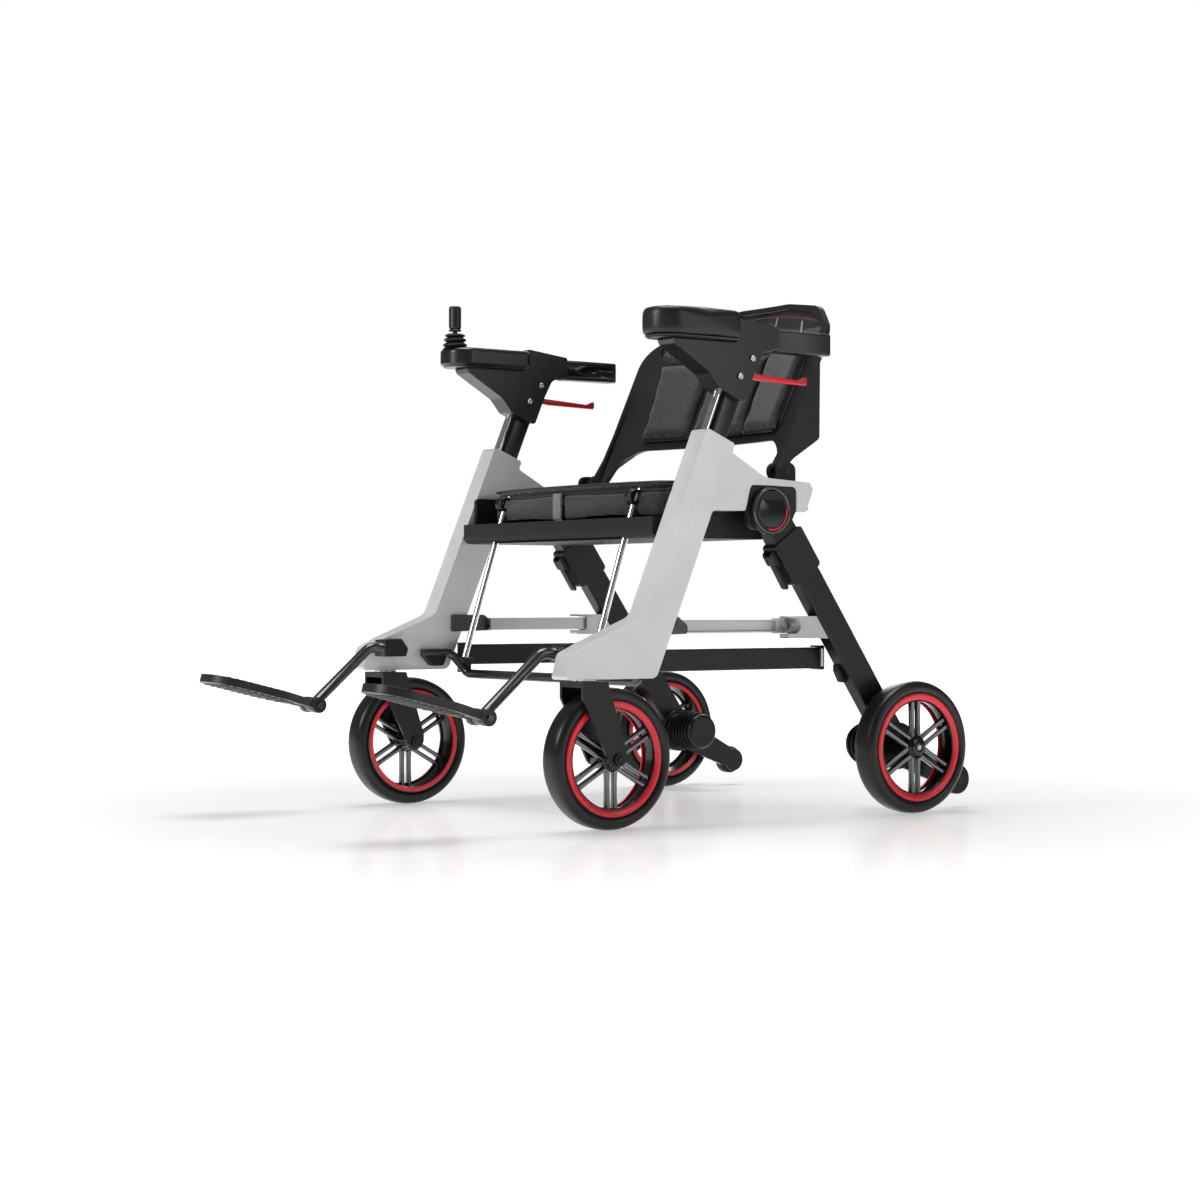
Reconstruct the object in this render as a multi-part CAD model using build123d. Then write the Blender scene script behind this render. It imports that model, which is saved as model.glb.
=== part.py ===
from build123d import *

# Folding power wheelchair, all sizes in millimetres.
# The chair faces -Y and +X is its own left. The origin is on the floor, midway between
# the toe tips and the anti-tip rollers.

import os
from math import cos, hypot, radians, sin, tan

# ---------------------------------------------------------------- driving dimensions
# Wheels
WHEEL_R = 100.0
TYRE_W = 41.0
TYRE_DEPTH = 18.0
FRONT_AXLE_Y = -156.0
WHEELBASE = 534.5
FRONT_X = 273.5
REAR_X = 317.0
HUB_R = 15.0
RIM_WALL = 6.0
SPOKE_W = 7.0
SPOKE_PAIRS = 6
RUNNING = 0.05          # radial clearance of a running fit
GAP = 0.4               # clearance between parts that move past each other

# Casters
CROWN_T = 8.0
CROWN_LIFT = 1.0        # crown's underside above the tyre's crown height
BEARING_T = 3.0
TRAIL = 40.0
STEM_R = 6.0
FORK_T = 5.0
FORK_CLEAR = 3.5

# Side frames, as distances from the front axle (Y) and from the sole of the foot (Z)
FRAME_IN = 262.0
FRAME_OUT = 298.0
LEAN = 22.8             # upright's lean from the vertical, in degrees
UPRIGHT_DEPTH = 55.5
UPRIGHT_RISE = 358.0
KINK = (45.0, 87.5)
ARM_RISE = 286.0
ARM_REACH = 357.0
HINGE_AT = (278.0, 243.0)
RECESS_HALF = 47.0
RECESS_TOP = 34.0
POCKET_DEPTH = 165.0

# Rear legs
LEG_W = 25.0
LEG_DEPTH = 43.0
UPPER_DEPTH = 52.0
LEG_WALL = 2.5
LEG_OFFSET_TOP = 12.0
LEG_OFFSET_FOOT = 4.0
UPPER_LEN = 95.0
COLLAR_FROM = 52.0
COLLAR_TO = 122.0
TORSION_R = 10.0
GEAR_CASE_R = 36.0
MOTOR_R = 29.0
SHAFT_R = 8.0
ROLLER_R = 23.0
ROLLER_W = 16.0
ROLLER_AT = (657.0, 44.0)
ROLLER_X = 285.0

# Braces and lower rails
BRACE_T = 10.0
BRACE_H = 19.0
BRACE_WALL = 2.5
BRACE_OUT = 256.0
BRACE_PIVOT = (55.0, -171.0)     # from the leg hinge
BRACE_LEN = 193.0
SLIDE_PIN_R = 2.0
RAIL_W = 20.0
RAIL_H = 32.0
RAIL_OUT = 256.0
RAIL_RISE = 23.5                 # rail's middle above the sole of the foot
RAIL_FROM = 96.0
RAIL_TO = 404.0
CROSS_R = 7.0
ROD_R = 5.0
ROD_X = 174.0

# Seat and back
SEAT_HALF = 237.0
SEAT_FRONT = 100.0
SEAT_REAR = 425.0
CUSHION_T = 32.0
SOFT_GAP = 0.3           # between a soft piece and what carries it
FASCIA_T = 55.0
FASCIA_LEN = 60.0
PLATE_T = 8.0
PAN_DROP = 86.0                  # pan's underside below the seat's top
BACK_PIVOT = (338.0, 303.0)      # from the front axle and the sole of the foot
BACK_HEIGHT = 280.0
BACK_LEAN = 24.5
BACK_HALF = 236.0
BACK_SAG = 45.0
BACK_T = 9.0
WINDOW_HALF = 188.0
WINDOW_LOW = 66.0
WINDOW_HIGH = 272.0
WING_ARCH = 52.0
PAD_TOP = 200.0
PAD_SPLIT = 68.0
FIN_RISE = 172.0                 # side fin of each wing, above the pivot
FIN_DEPTH = 84.0
PAD_T = 16.0

# Armrests
ARM_X = 275.0
ARM_T = 38.0
POST_DEPTH = 28.0
POST_T = 18.0
CHROME_R = 6.0
POST_EXPOSED = 64.0
POST_GRIP = 25.0
POST_BURIED = 100.0
PAD_W = 74.0
PAD_H = 44.0
PAD_LEN = 145.0
PAD_BASE = 67.5                  # above the bracket's sole
PAD_FRONT = -113.5               # from the bracket's sole
BAR_LEN = 104.0
BAR_H = 33.0
BAR_W = 26.0
LEVER_LEN = 108.0
LEVER_W = 7.0
LEVER_PIN_R = 3.0
LEVER_AT = (56.5, 26.0)          # from the bracket's sole
BAR_AT = (112.5, 74.0)
STICK_AT = (-95.5, 272.0)        # from the bracket's sole, and across from the middle
BUTTON_AT = -33.5

# Footrests
HANGER_R = 8.0
HANGER_X = 240.0
TOE_PIVOT = (-188.0, -50.0)      # from the front axle and the sole of the foot
PLATE_TILT = 14.0
PLATE_LEN = 184.5
PLATE_W = 100.0
PLATE_THICK = 12.0
KNUCKLE_R = 12.0
TOE_PIN_R = 4.0

# ---------------------------------------------------------------- places worked out from them
FOOT_Z = 2 * WHEEL_R + CROWN_LIFT + CROWN_T + BEARING_T
LEAN_SIN, LEAN_COS = sin(radians(LEAN)), cos(radians(LEAN))


def place(point):
    """Turns a place given from the front axle and the sole of the foot into Y and Z."""
    return (FRONT_AXLE_Y + point[0], FOOT_Z + point[1])


def shifted(point, along, across, direction):
    """Moves a Y, Z point along a direction and across it, rearwards and up."""
    dy, dz = direction
    return (point[0] + along * dy - across * dz, point[1] + along * dz + across * dy)


HINGE = place(HINGE_AT)
REAR_AXLE = (FRONT_AXLE_Y + WHEELBASE, WHEEL_R)
REACH = hypot(REAR_AXLE[0] - HINGE[0], REAR_AXLE[1] - HINGE[1])
LEG_AXIS = ((REAR_AXLE[0] - HINGE[0]) / REACH, (REAR_AXLE[1] - HINGE[1]) / REACH)
LEG_TOP = shifted(HINGE, 0, LEG_OFFSET_TOP, LEG_AXIS)
LEG_FOOT = shifted(REAR_AXLE, 0, LEG_OFFSET_FOOT, LEG_AXIS)
LEG_LEN = hypot(LEG_FOOT[0] - LEG_TOP[0], LEG_FOOT[1] - LEG_TOP[1])
LEG_DIR = ((LEG_FOOT[0] - LEG_TOP[0]) / LEG_LEN, (LEG_FOOT[1] - LEG_TOP[1]) / LEG_LEN)
LEG_IN = FRAME_IN + 0.6
LEG_OUT = LEG_IN + LEG_W
UP_DIR = (LEAN_SIN, LEAN_COS)
RISE_S = (UPRIGHT_RISE - KINK[1]) / LEAN_COS
SEAT_TOP = FOOT_Z + ARM_RISE
PAN_Z = SEAT_TOP - PAN_DROP
BRACE_AT = (HINGE[0] + BRACE_PIVOT[0], HINGE[1] + BRACE_PIVOT[1])
RAIL_Z = FOOT_Z + RAIL_RISE
PLATE_OUT = FRAME_IN
PLATE_IN = PLATE_OUT - PLATE_T
BACK_AT = place(BACK_PIVOT)
TOE_AT = place(TOE_PIVOT)
STEM_Y = FRONT_AXLE_Y - TRAIL
ROLLER_PLACE = (FRONT_AXLE_Y + ROLLER_AT[0], ROLLER_AT[1])
RIM_R = WHEEL_R - TYRE_DEPTH
ROD_FOOT = (ROD_X, *place((45.0, 20.0)))
ROD_HEAD = (ROD_X, *place((123.0, 265.0)))
CROSS_Y, CROSS_Z = place((85.0, -7.0))
SLIDE_PIN = (HINGE[0] - 132.0, BRACE_AT[1] - 4.3)


def on_upright(along, across):
    """Y and Z of a point measured up the upright's front edge from its kink, and back from it."""
    y, z = place(KINK)
    return (y + along * LEAN_SIN + across * LEAN_COS, z + along * LEAN_COS - across * LEAN_SIN)


SOLE = on_upright(RISE_S + POST_EXPOSED, 0)
PAD_Z = SOLE[1] + PAD_BASE


def on_arm(point):
    """Y and Z of a point given from the front of the arm bracket's sole."""
    return (SOLE[0] + point[0], SOLE[1] + point[1])


LEVER_PIN = on_arm(LEVER_AT)


def on_leg(along, across):
    """Y and Z of a point down the rear leg's middle line from the hinge, and behind the line."""
    return shifted(LEG_TOP, along, across, LEG_DIR)


# ---------------------------------------------------------------- shape helpers
def block(x, y, z):
    """Box between two limits on each axis."""
    limits = (x, y, z)
    sizes = [high - low for low, high in limits]
    middle = [(high + low) / 2 for low, high in limits]
    return Pos(*middle) * Box(*sizes)


def bar(start, end, radius):
    """Round bar from one point to another."""
    axis = Vector(*end) - Vector(*start)
    return extrude(Plane(Vector(*start), z_dir=axis) * Circle(radius), axis.length)


def across(radius, x, centre):
    """Round bar along X at a Y, Z centre."""
    return bar((x[0], *centre), (x[1], *centre), radius)


def upright(radius, z, x, y):
    """Round bar along Z."""
    return bar((x, y, z[0]), (x, y, z[1]), radius)


def outline(points, x, radii=0.0):
    """Closed outline of Y, Z points with rounded corners, pulled along X."""
    edge = FilletPolyline(*points, radius=radii, close=True)
    return Pos(x[0], 0, 0) * extrude(Plane.YZ * make_face(edge), x[1] - x[0])


def plan(points, z, radii=0.0):
    """Closed outline of X, Y points with rounded corners, pulled along Z."""
    edge = FilletPolyline(*points, radius=radii, close=True)
    return Pos(0, 0, z[0]) * extrude(make_face(edge), z[1] - z[0])


def tube_path(points, radii, radius):
    """Bent round bar along straight runs and arcs."""
    path = FilletPolyline(*points, radius=radii)
    start = Plane(path @ 0, z_dir=path % 0)
    return sweep(start * Circle(radius), path)


def other_side(shape):
    """The mirrored piece on the chair's right."""
    return mirror(shape, about=Plane.YZ)


def save(node, *shapes):
    """Writes one STEP file with each shape's solids."""
    solids = [solid for shape in shapes for solid in shape.solids()]
    export_step(solids[0] if len(solids) == 1 else Compound(solids), f"parts/{node}.step")


def save_both(node, shape):
    """Writes a piece for the left and its mirror image for the right, as two nodes."""
    save(f"left_{node}", shape)
    save(f"right_{node}", other_side(shape))


# ---------------------------------------------------------------- side frames
def post_pocket(x, margin=GAP):
    """Slot and bore in the upright that the armrest's post and chrome rod slide in."""
    low, high = RISE_S - POCKET_DEPTH, RISE_S + 5
    slot = [on_upright(s, c) for s, c in (
        (low, POST_FROM - margin), (high, POST_FROM - margin),
        (high, POST_FROM + POST_DEPTH + margin), (low, POST_FROM + POST_DEPTH + margin))]
    half = POST_T / 2 + margin
    pocket = outline(slot, (x - half, x + half))
    return pocket + bar((x, *on_upright(low, CHROME_C)), (x, *on_upright(high, CHROME_C)),
                        CHROME_R + margin)


CHROME_C = 7.0 + CHROME_R
POST_FROM = CHROME_C + CHROME_R + 1.5


def side_frame():
    rear_top = on_upright(RISE_S, UPRIGHT_DEPTH)
    arm_y, arm_z = place((ARM_REACH, ARM_RISE))
    hinge_y, hinge_z = HINGE
    points = [
        (place((-88.0, 0.0)), 5), (place((-78.0, 36.0)), 10), (place((-48.0, 50.0)), 20),
        (place(KINK), 25), (on_upright(RISE_S, 0), 6), (rear_top, 4),
        (on_upright(RISE_S - 14, UPRIGHT_DEPTH), 4), ((hinge_y - 12, arm_z + 3), 45),
        ((arm_y - 6, arm_z - 2), 5), ((arm_y, arm_z - 12), 5), ((arm_y - 14, hinge_z - 3), 6),
        ((hinge_y + RECESS_HALF, hinge_z - 3), 3),
        ((hinge_y + RECESS_HALF, hinge_z + RECESS_TOP), 8),
        ((hinge_y - RECESS_HALF + 8, hinge_z + RECESS_TOP + 1), 9),
        ((hinge_y - RECESS_HALF - 2, hinge_z - 3), 3),
        (on_upright((hinge_z - FOOT_Z - KINK[1] + 18) / LEAN_COS, UPRIGHT_DEPTH), 9),
        ((rear_top[0] - (rear_top[1] - FOOT_Z) * LEAN_SIN / LEAN_COS, FOOT_Z), 12),
    ]
    body = outline([p for p, _ in points], (FRAME_IN, FRAME_OUT), [r for _, r in points])
    stem_bore = upright(STEM_R + RUNNING, (FOOT_Z - 1, FOOT_Z + 38), FRONT_X, STEM_Y)
    return body - post_pocket(ARM_X) - stem_bore


def hinge_cover():
    """Plate that closes the arm's recess over the leg hinge, with a D-shaped raised cap."""
    y, z = HINGE
    side = RECESS_HALF - 0.1
    back = outline([(y - side + 8, z - 30), (y + side - 14, z - 30), (y + side, z - 3),
                    (y + side, z + RECESS_TOP), (y - side + 8, z + RECESS_TOP), (y - side, z - 3)],
                   (LEG_OUT + GAP, FRAME_OUT - 2), [14, 10, 2, 8.2, 9.2, 3])
    cap = across(36, (FRAME_OUT - 2, FRAME_OUT + 5), (y - 4, z - 2))
    cap -= block((FRAME_OUT - 3, FRAME_OUT + 6), (y - 60, y + 60), (z + 27, z + 60))
    bore = across(TORSION_R + RUNNING, (LEG_OUT, FRAME_OUT - 4), HINGE)
    return back - SIDE_FRAME + cap - bore


def caster_bearing():
    ring = upright(17, (FOOT_Z - BEARING_T + 0.3, FOOT_Z), FRONT_X, STEM_Y)
    return ring - upright(STEM_R + 1, (FOOT_Z - 10, FOOT_Z + 10), FRONT_X, STEM_Y)


# ---------------------------------------------------------------- cross tube, rails, rods, braces
def cross_tube():
    side_x = FRAME_IN - CROSS_R - 0.1
    stub_y, stub_z = place((16.0, 26.0))
    bend_y = FRONT_AXLE_Y + 70.0
    left = [(side_x, stub_y, stub_z), (side_x, bend_y, stub_z), (side_x - 27, CROSS_Y, CROSS_Z)]
    right = [(-x, y, z) for x, y, z in reversed(left)]
    return tube_path(left + right, 14.0, CROSS_R)


def lower_rail():
    y = (FRONT_AXLE_Y + RAIL_FROM, FRONT_AXLE_Y + RAIL_TO)
    z = (RAIL_Z - RAIL_H / 2, RAIL_Z + RAIL_H / 2)
    rail = block((RAIL_OUT - RAIL_W, RAIL_OUT), y, z)
    return fillet(rail.edges().filter_by(Axis.Y), 2.5)


def rail_cap():
    y = (FRONT_AXLE_Y + RAIL_TO, FRONT_AXLE_Y + RAIL_TO + 10)
    z = (RAIL_Z - RAIL_H / 2 - 2, RAIL_Z + RAIL_H / 2 + 3)
    cap = block((RAIL_OUT - RAIL_W - 1, RAIL_OUT + 1), y, z)
    return fillet(cap.edges().filter_by(Axis.X), 3)


def frame_bracket():
    """Bracket that ties a rail's front end to the cross tube and carries a chrome rod's foot."""
    rail_y = FRONT_AXLE_Y + RAIL_FROM
    stand = block((RAIL_OUT - RAIL_W, RAIL_OUT - 2), (CROSS_Y - 4, rail_y),
                  (CROSS_Z + 2, RAIL_Z + RAIL_H / 2 + 3))
    inner = RAIL_OUT - RAIL_W
    arm = plan([(inner, rail_y), (inner + 12, rail_y), (inner + 12, CROSS_Y - 4),
                (ROD_X + 4, ROD_FOOT[1] - 8), (ROD_X - 9, ROD_FOOT[1] - 8),
                (ROD_X - 9, ROD_FOOT[1] + 10)],
               (ROD_FOOT[2] - 8, ROD_FOOT[2]), [2, 2, 2, 3, 3, 3])
    return stand + arm - CROSS_TUBE - bar(ROD_FOOT, ROD_HEAD, ROD_R)


def stub_clamp():
    """Black clamp that holds the cross tube's end on the side frame's inner face."""
    y0, z0 = place((18.0, 26.0))
    clamp = outline([(y0, z0 - 4), (y0 + 40, z0 - 4), (y0 + 33, z0 - 20), (y0 + 14, z0 - 20)],
                    (FRAME_IN - 2 * CROSS_R, FRAME_IN), [2, 2, 5, 5])
    return clamp - CROSS_TUBE


def support_rod():
    return bar(ROD_FOOT, ROD_HEAD, ROD_R)


def brace_tab():
    """Plate on the side frame's inner face; its pin guides the brace's open channel."""
    y, z = SLIDE_PIN
    front = FRONT_AXLE_Y + 74.0
    tab = outline([(front, z - 8), (y + 5, z - 6), (y + 5, z + 6), (y - 12, z + 19), (front, z + 19)],
                  (BRACE_OUT + 1, FRAME_IN), [3, 4, 4, 6, 3])
    screw = across(5, (FRAME_IN, FRAME_IN + 2.5), (y - 13, z + 10))
    pin = across(SLIDE_PIN_R, (BRACE_OUT - BRACE_T + 5, BRACE_OUT + 2), SLIDE_PIN)
    return tab + screw + pin


def brace_bar():
    """Silver brace: a shallow channel, open on its outer side, with a round end at its pivot."""
    y, z = BRACE_AT
    half = BRACE_H / 2
    x = (BRACE_OUT - BRACE_T, BRACE_OUT)
    body = block(x, (y - BRACE_LEN, y), (z - half, z + half)) + across(half, x, BRACE_AT)
    channel = block((x[0] + 4, x[1] + 1), (y - BRACE_LEN - 1, y - half - 3),
                    (z - half + BRACE_WALL, z + half - BRACE_WALL))
    return body - channel - across(4 + RUNNING, (x[0] - 1, x[1] + 1), BRACE_AT)


# ---------------------------------------------------------------- seat
def seat_plate():
    """Side plate of the seat frame; it carries the torsion tube and the back's pivot."""
    hinge_y, hinge_z = HINGE
    front = FRONT_AXLE_Y + 118.0
    back_y, back_z = BACK_AT
    points = [
        ((front, PAN_Z + 20), 5), ((front + 15, PAN_Z), 5), ((hinge_y - 4, PAN_Z), 12),
        ((hinge_y + 34, hinge_z - 22), 10), ((back_y + 15, hinge_z + 6), 8),
        ((back_y + 15, back_z + 12), 12), ((back_y - 15, back_z + 12), 12),
        ((back_y - 20, SEAT_TOP - 13), 6), ((front, SEAT_TOP - 13), 6),
    ]
    plate = outline([p for p, _ in points], (PLATE_IN, PLATE_OUT), [r for _, r in points])
    plate -= across(TORSION_R + RUNNING, (PLATE_IN - 1, PLATE_OUT + 1), HINGE)
    return plate - across(5 + RUNNING, (PLATE_IN - 1, PLATE_OUT + 1), BACK_AT)


def seat_frame():
    hinge_y = HINGE[0]
    slope = (ROD_HEAD[1] - ROD_FOOT[1]) / (ROD_HEAD[2] - ROD_FOOT[2])
    rod_y = ROD_FOOT[1] + (PAN_Z - ROD_FOOT[2]) * slope
    pan_top = SEAT_TOP - CUSHION_T - SOFT_GAP
    fascia_bottom = SEAT_TOP - FASCIA_T - SOFT_GAP
    fascia_end = FRONT_AXLE_Y + SEAT_FRONT + FASCIA_LEN + SOFT_GAP
    beam = block((-PLATE_IN, PLATE_IN), (rod_y - ROD_R - 4, fascia_end + 12),
                 (PAN_Z, fascia_bottom))
    box = block((-PLATE_IN, PLATE_IN), (fascia_end, hinge_y + 18), (PAN_Z, pan_top))
    hollow = block((-PLATE_IN + 6, PLATE_IN - 6), (fascia_end + 4, hinge_y - 16),
                   (PAN_Z + 4, pan_top - 3))
    tunnel = across(TORSION_R + 4, (-PLATE_IN - 1, PLATE_IN + 1), HINGE)
    rear = block((-PLATE_IN, PLATE_IN), (hinge_y + 18, FRONT_AXLE_Y + SEAT_REAR - 12),
                 (pan_top - 6, pan_top))
    arms_gap = BACK_HALF - BACK_T - 8
    notch = block((arms_gap, PLATE_IN + 1), (BACK_AT[0] - 22, FRONT_AXLE_Y + SEAT_REAR),
                  (pan_top - 10, pan_top + 1))
    body = beam + box + rear - hollow - tunnel - notch - other_side(notch)
    body += seat_plate() + other_side(seat_plate())
    return body - support_rod() - other_side(support_rod())


def seat_cushion():
    """Padded seat: thick at its front, where the cover wraps down, thinner over the pan."""
    y0 = FRONT_AXLE_Y + SEAT_FRONT
    y1 = FRONT_AXLE_Y + SEAT_REAR
    pan_top = SEAT_TOP - CUSHION_T
    half = SEAT_HALF
    corner = 30.0
    shape = plan([(-half, y0 + corner), (-half + corner + 15, y0), (half - corner - 15, y0),
                  (half, y0 + corner), (half, BACK_AT[0] - 26), (half - 24, BACK_AT[0] - 20),
                  (half - 24, y1), (-half + 24, y1), (-half + 24, BACK_AT[0] - 20),
                  (-half, BACK_AT[0] - 26)],
                 (SEAT_TOP - FASCIA_T, SEAT_TOP), [15, 40, 40, 15, 3, 3, 12, 12, 3, 3])
    under = block((-half - 1, half + 1), (y0 + FASCIA_LEN, y1 + 1),
                  (SEAT_TOP - FASCIA_T - 1, pan_top))
    notch = bar(ROD_FOOT, (ROD_X, *shifted(ROD_HEAD[1:], 14, 0, (0.3, 0.954))), ROD_R + 2.5)
    notch += block((ROD_X - ROD_R - 2.5, ROD_X + ROD_R + 2.5), (y0 - 5, ROD_HEAD[1]),
                   (SEAT_TOP - FASCIA_T - 1, ROD_HEAD[2] + 2))
    return shape - under - notch - other_side(notch)


def battery_pack():
    """Battery hung under the pan behind the front beam."""
    y = (HINGE[0] - 110, HINGE[0] - 22)
    pack = block((-150, 60), y, (PAN_Z - 4 + 8, PAN_Z + 44))
    return fillet(pack.edges().filter_by(Axis.Z), 6)


def motor_controller():
    y = (HINGE[0] - 110, HINGE[0] - 22)
    case = block((75, 190), y, (PAN_Z + 4, PAN_Z + 30))
    return fillet(case.edges().filter_by(Axis.Z), 4)


# ---------------------------------------------------------------- rear legs
def upper_leg():
    front, rear = -UPPER_DEPTH + LEG_DEPTH / 2, LEG_DEPTH / 2
    points = [on_leg(0, front + 6), on_leg(0, rear - 4), on_leg(UPPER_LEN, rear),
              on_leg(UPPER_LEN, front)]
    x = (LEG_IN, LEG_OUT)
    inner = LEG_DEPTH / 2 - LEG_WALL
    spigot = outline([on_leg(UPPER_LEN - 1, -inner), on_leg(UPPER_LEN - 1, inner),
                      on_leg(UPPER_LEN + 60, inner), on_leg(UPPER_LEN + 60, -inner)],
                     (LEG_IN + LEG_WALL, LEG_OUT - LEG_WALL))
    body = outline(points, x, [4, 8, 0.5, 0.5]) + across(22, x, HINGE) + spigot
    return body - across(TORSION_R, (LEG_IN - 1, LEG_OUT + 1), HINGE)


def lower_leg():
    half = LEG_DEPTH / 2
    inner = half - LEG_WALL
    x = (LEG_IN, LEG_OUT)
    tube = outline([on_leg(UPPER_LEN, -half), on_leg(UPPER_LEN, half),
                    on_leg(LEG_LEN, half), on_leg(LEG_LEN, -half)], x)
    tube = fillet(tube.edges().filter_by(lambda e: abs((e % 0).X) < 0.1 and e.length > 200), 3)
    hollow = outline([on_leg(UPPER_LEN - 1, -inner), on_leg(UPPER_LEN - 1, inner),
                      on_leg(LEG_LEN - 60, inner), on_leg(LEG_LEN - 60, -inner)],
                     (x[0] + LEG_WALL, x[1] - LEG_WALL))
    return tube - hollow - across(GEAR_CASE_R, (x[0] - 9, x[1] + 9), REAR_AXLE)


def leg_collar():
    """Black clamp band around the joint of the leg's two tubes, with ears for its lever."""
    front, rear = -UPPER_DEPTH + LEG_DEPTH / 2 - 4, LEG_DEPTH / 2 + 4
    outer = outline([on_leg(COLLAR_FROM, front), on_leg(COLLAR_FROM, rear),
                     on_leg(COLLAR_TO, rear), on_leg(COLLAR_TO, front)],
                    (LEG_IN - 2, LEG_OUT + 3), [6, 6, 6, 6])
    boss = outline([on_leg(COLLAR_FROM + 6, front + 3), on_leg(COLLAR_FROM + 6, front - 9),
                    on_leg(COLLAR_FROM + 30, front - 9), on_leg(COLLAR_FROM + 30, front + 3)],
                   (LEG_IN + 2, LEG_OUT - 2), [2, 6, 6, 2])
    slot = outline([on_leg(COLLAR_FROM, front - 0.5), on_leg(COLLAR_FROM, front - 14),
                    on_leg(COLLAR_TO, front - 14), on_leg(COLLAR_TO, front - 0.5)],
                   (LEG_IN + 6.5, LEG_OUT - 6.5))
    pin = across(2.5, (LEG_IN + 4, LEG_OUT - 4), on_leg(COLLAR_FROM + 14, front - 5))
    band = outer + (boss - slot) + pin
    return band - UPPER_LEG - LOWER_LEG


def collar_lever():
    """Lever that lies along the collar's front and swings out from its pin."""
    front = -UPPER_DEPTH + LEG_DEPTH / 2 - 4
    hub = across(4.2, (LEG_IN + 7, LEG_OUT - 7), on_leg(COLLAR_FROM + 14, front - 5))
    arm = outline([on_leg(COLLAR_FROM + 14, front - 1.5), on_leg(COLLAR_FROM + 14, front - 8.5),
                   on_leg(COLLAR_TO - 4, front - 10), on_leg(COLLAR_TO + 2, front - 7),
                   on_leg(COLLAR_TO - 4, front - 3)], (LEG_IN + 7, LEG_OUT - 7), [0.5, 1, 3, 2, 3])
    return hub + arm - across(2.5 + RUNNING, (LEG_IN, LEG_OUT), on_leg(COLLAR_FROM + 14, front - 5))


def torsion_tube():
    """Steel tube through both side plates that joins the rear legs at their hinge."""
    half = FRAME_OUT - 5
    tube = across(TORSION_R, (-half, half), HINGE)
    return tube - across(TORSION_R - 3, (-half - 1, half + 1), HINGE)


def leg_catch():
    """Small catch on the leg's front face beside the rail's end cap."""
    z = RAIL_Z - 9
    along = (LEG_TOP[1] - z) / -LEG_DIR[1]
    half = LEG_DEPTH / 2
    catch = outline([on_leg(along - 16, -half), on_leg(along - 6, -half - 7),
                     on_leg(along + 14, -half - 9), on_leg(along + 18, -half)],
                    (LEG_IN + 1, LEG_IN + 13), [1, 4, 4, 1])
    return catch - LOWER_LEG


def brace_bracket():
    """Forked silver bracket on the leg's front; its inner cheek holds the brace's pin."""
    y, z = BRACE_AT
    half = BRACE_H / 2
    x = (LEG_IN + 1, LEG_OUT - 3)
    fork = outline([(y - 12, z + 14.5), (y + 80, z + 14.5), (y + 80, z - 19), (y - 12, z - 18)],
                   x, [2, 1, 1, 2])
    fork -= block((x[0] - 1, x[1] + 1), (y - 20, y), (z - half - 2, z + half + 2))
    fork -= across(half + 2, (x[0] - 1, x[1] + 1), BRACE_AT)
    leg_side = outline([on_leg(0, 60), on_leg(LEG_LEN, 60), on_leg(LEG_LEN, -LEG_DEPTH / 2),
                        on_leg(0, -LEG_DEPTH / 2)], (x[0] - 1, x[1] + 1))
    fork -= leg_side
    cheek_x = BRACE_OUT - BRACE_T - 1
    web = block((cheek_x - 5, x[0] + 6), (y + half + 2, y + half + 7), (z - 11, z + 11))
    cheek = block((cheek_x - 5, cheek_x), (y - 8, y + half + 7), (z - 11, z + 11))
    pin = across(4, (cheek_x - 1, BRACE_OUT), BRACE_AT)
    return fork + web + cheek + pin


def drive_motor():
    case = across(GEAR_CASE_R, (LEG_IN - 3, LEG_OUT + 3), REAR_AXLE)
    can = across(MOTOR_R, (LEG_IN - 66, LEG_IN - 3), REAR_AXLE)
    can = fillet(can.edges().group_by(Axis.X)[0], 6)
    bore = across(SHAFT_R + RUNNING, (LEG_IN + 2, LEG_OUT + 4), REAR_AXLE)
    return case + can - bore


def antitip_arm():
    """Arm from the gear case down to the roller, with the roller's axle."""
    y, z = ROLLER_PLACE
    x = (ROLLER_X - ROLLER_W / 2 - 9, ROLLER_X - ROLLER_W / 2 - 1)
    run = (y - REAR_AXLE[0], z - REAR_AXLE[1])
    length = hypot(*run)
    way = (run[0] / length, run[1] / length)
    points = [shifted(REAR_AXLE, 15, 24, way), shifted(ROLLER_PLACE, -12, 17, way),
              shifted(ROLLER_PLACE, -12, -17, way), shifted(REAR_AXLE, 15, -24, way)]
    arm = outline(points, x) + across(19, x, ROLLER_PLACE)
    axle = across(4, (x[0], ROLLER_X + ROLLER_W / 2 + 1), ROLLER_PLACE)
    head = across(7, (ROLLER_X + ROLLER_W / 2 + 0.6, ROLLER_X + ROLLER_W / 2 + 3), ROLLER_PLACE)
    return arm + axle + head - across(GEAR_CASE_R, (LEG_IN - 3, LEG_OUT + 3), REAR_AXLE)


def antitip_roller():
    x = (ROLLER_X - ROLLER_W / 2, ROLLER_X + ROLLER_W / 2)
    roller = fillet(across(ROLLER_R, x, ROLLER_PLACE).edges(), 3)
    return roller - across(4 + RUNNING, (x[0] - 1, x[1] + 1), ROLLER_PLACE)


# ---------------------------------------------------------------- wheels
def tyre(x, centre):
    ring = across(WHEEL_R, (x - TYRE_W / 2, x + TYRE_W / 2), centre)
    ring = fillet(ring.edges(), 13)
    return ring - across(RIM_R, (x - TYRE_W, x + TYRE_W), centre)


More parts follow.
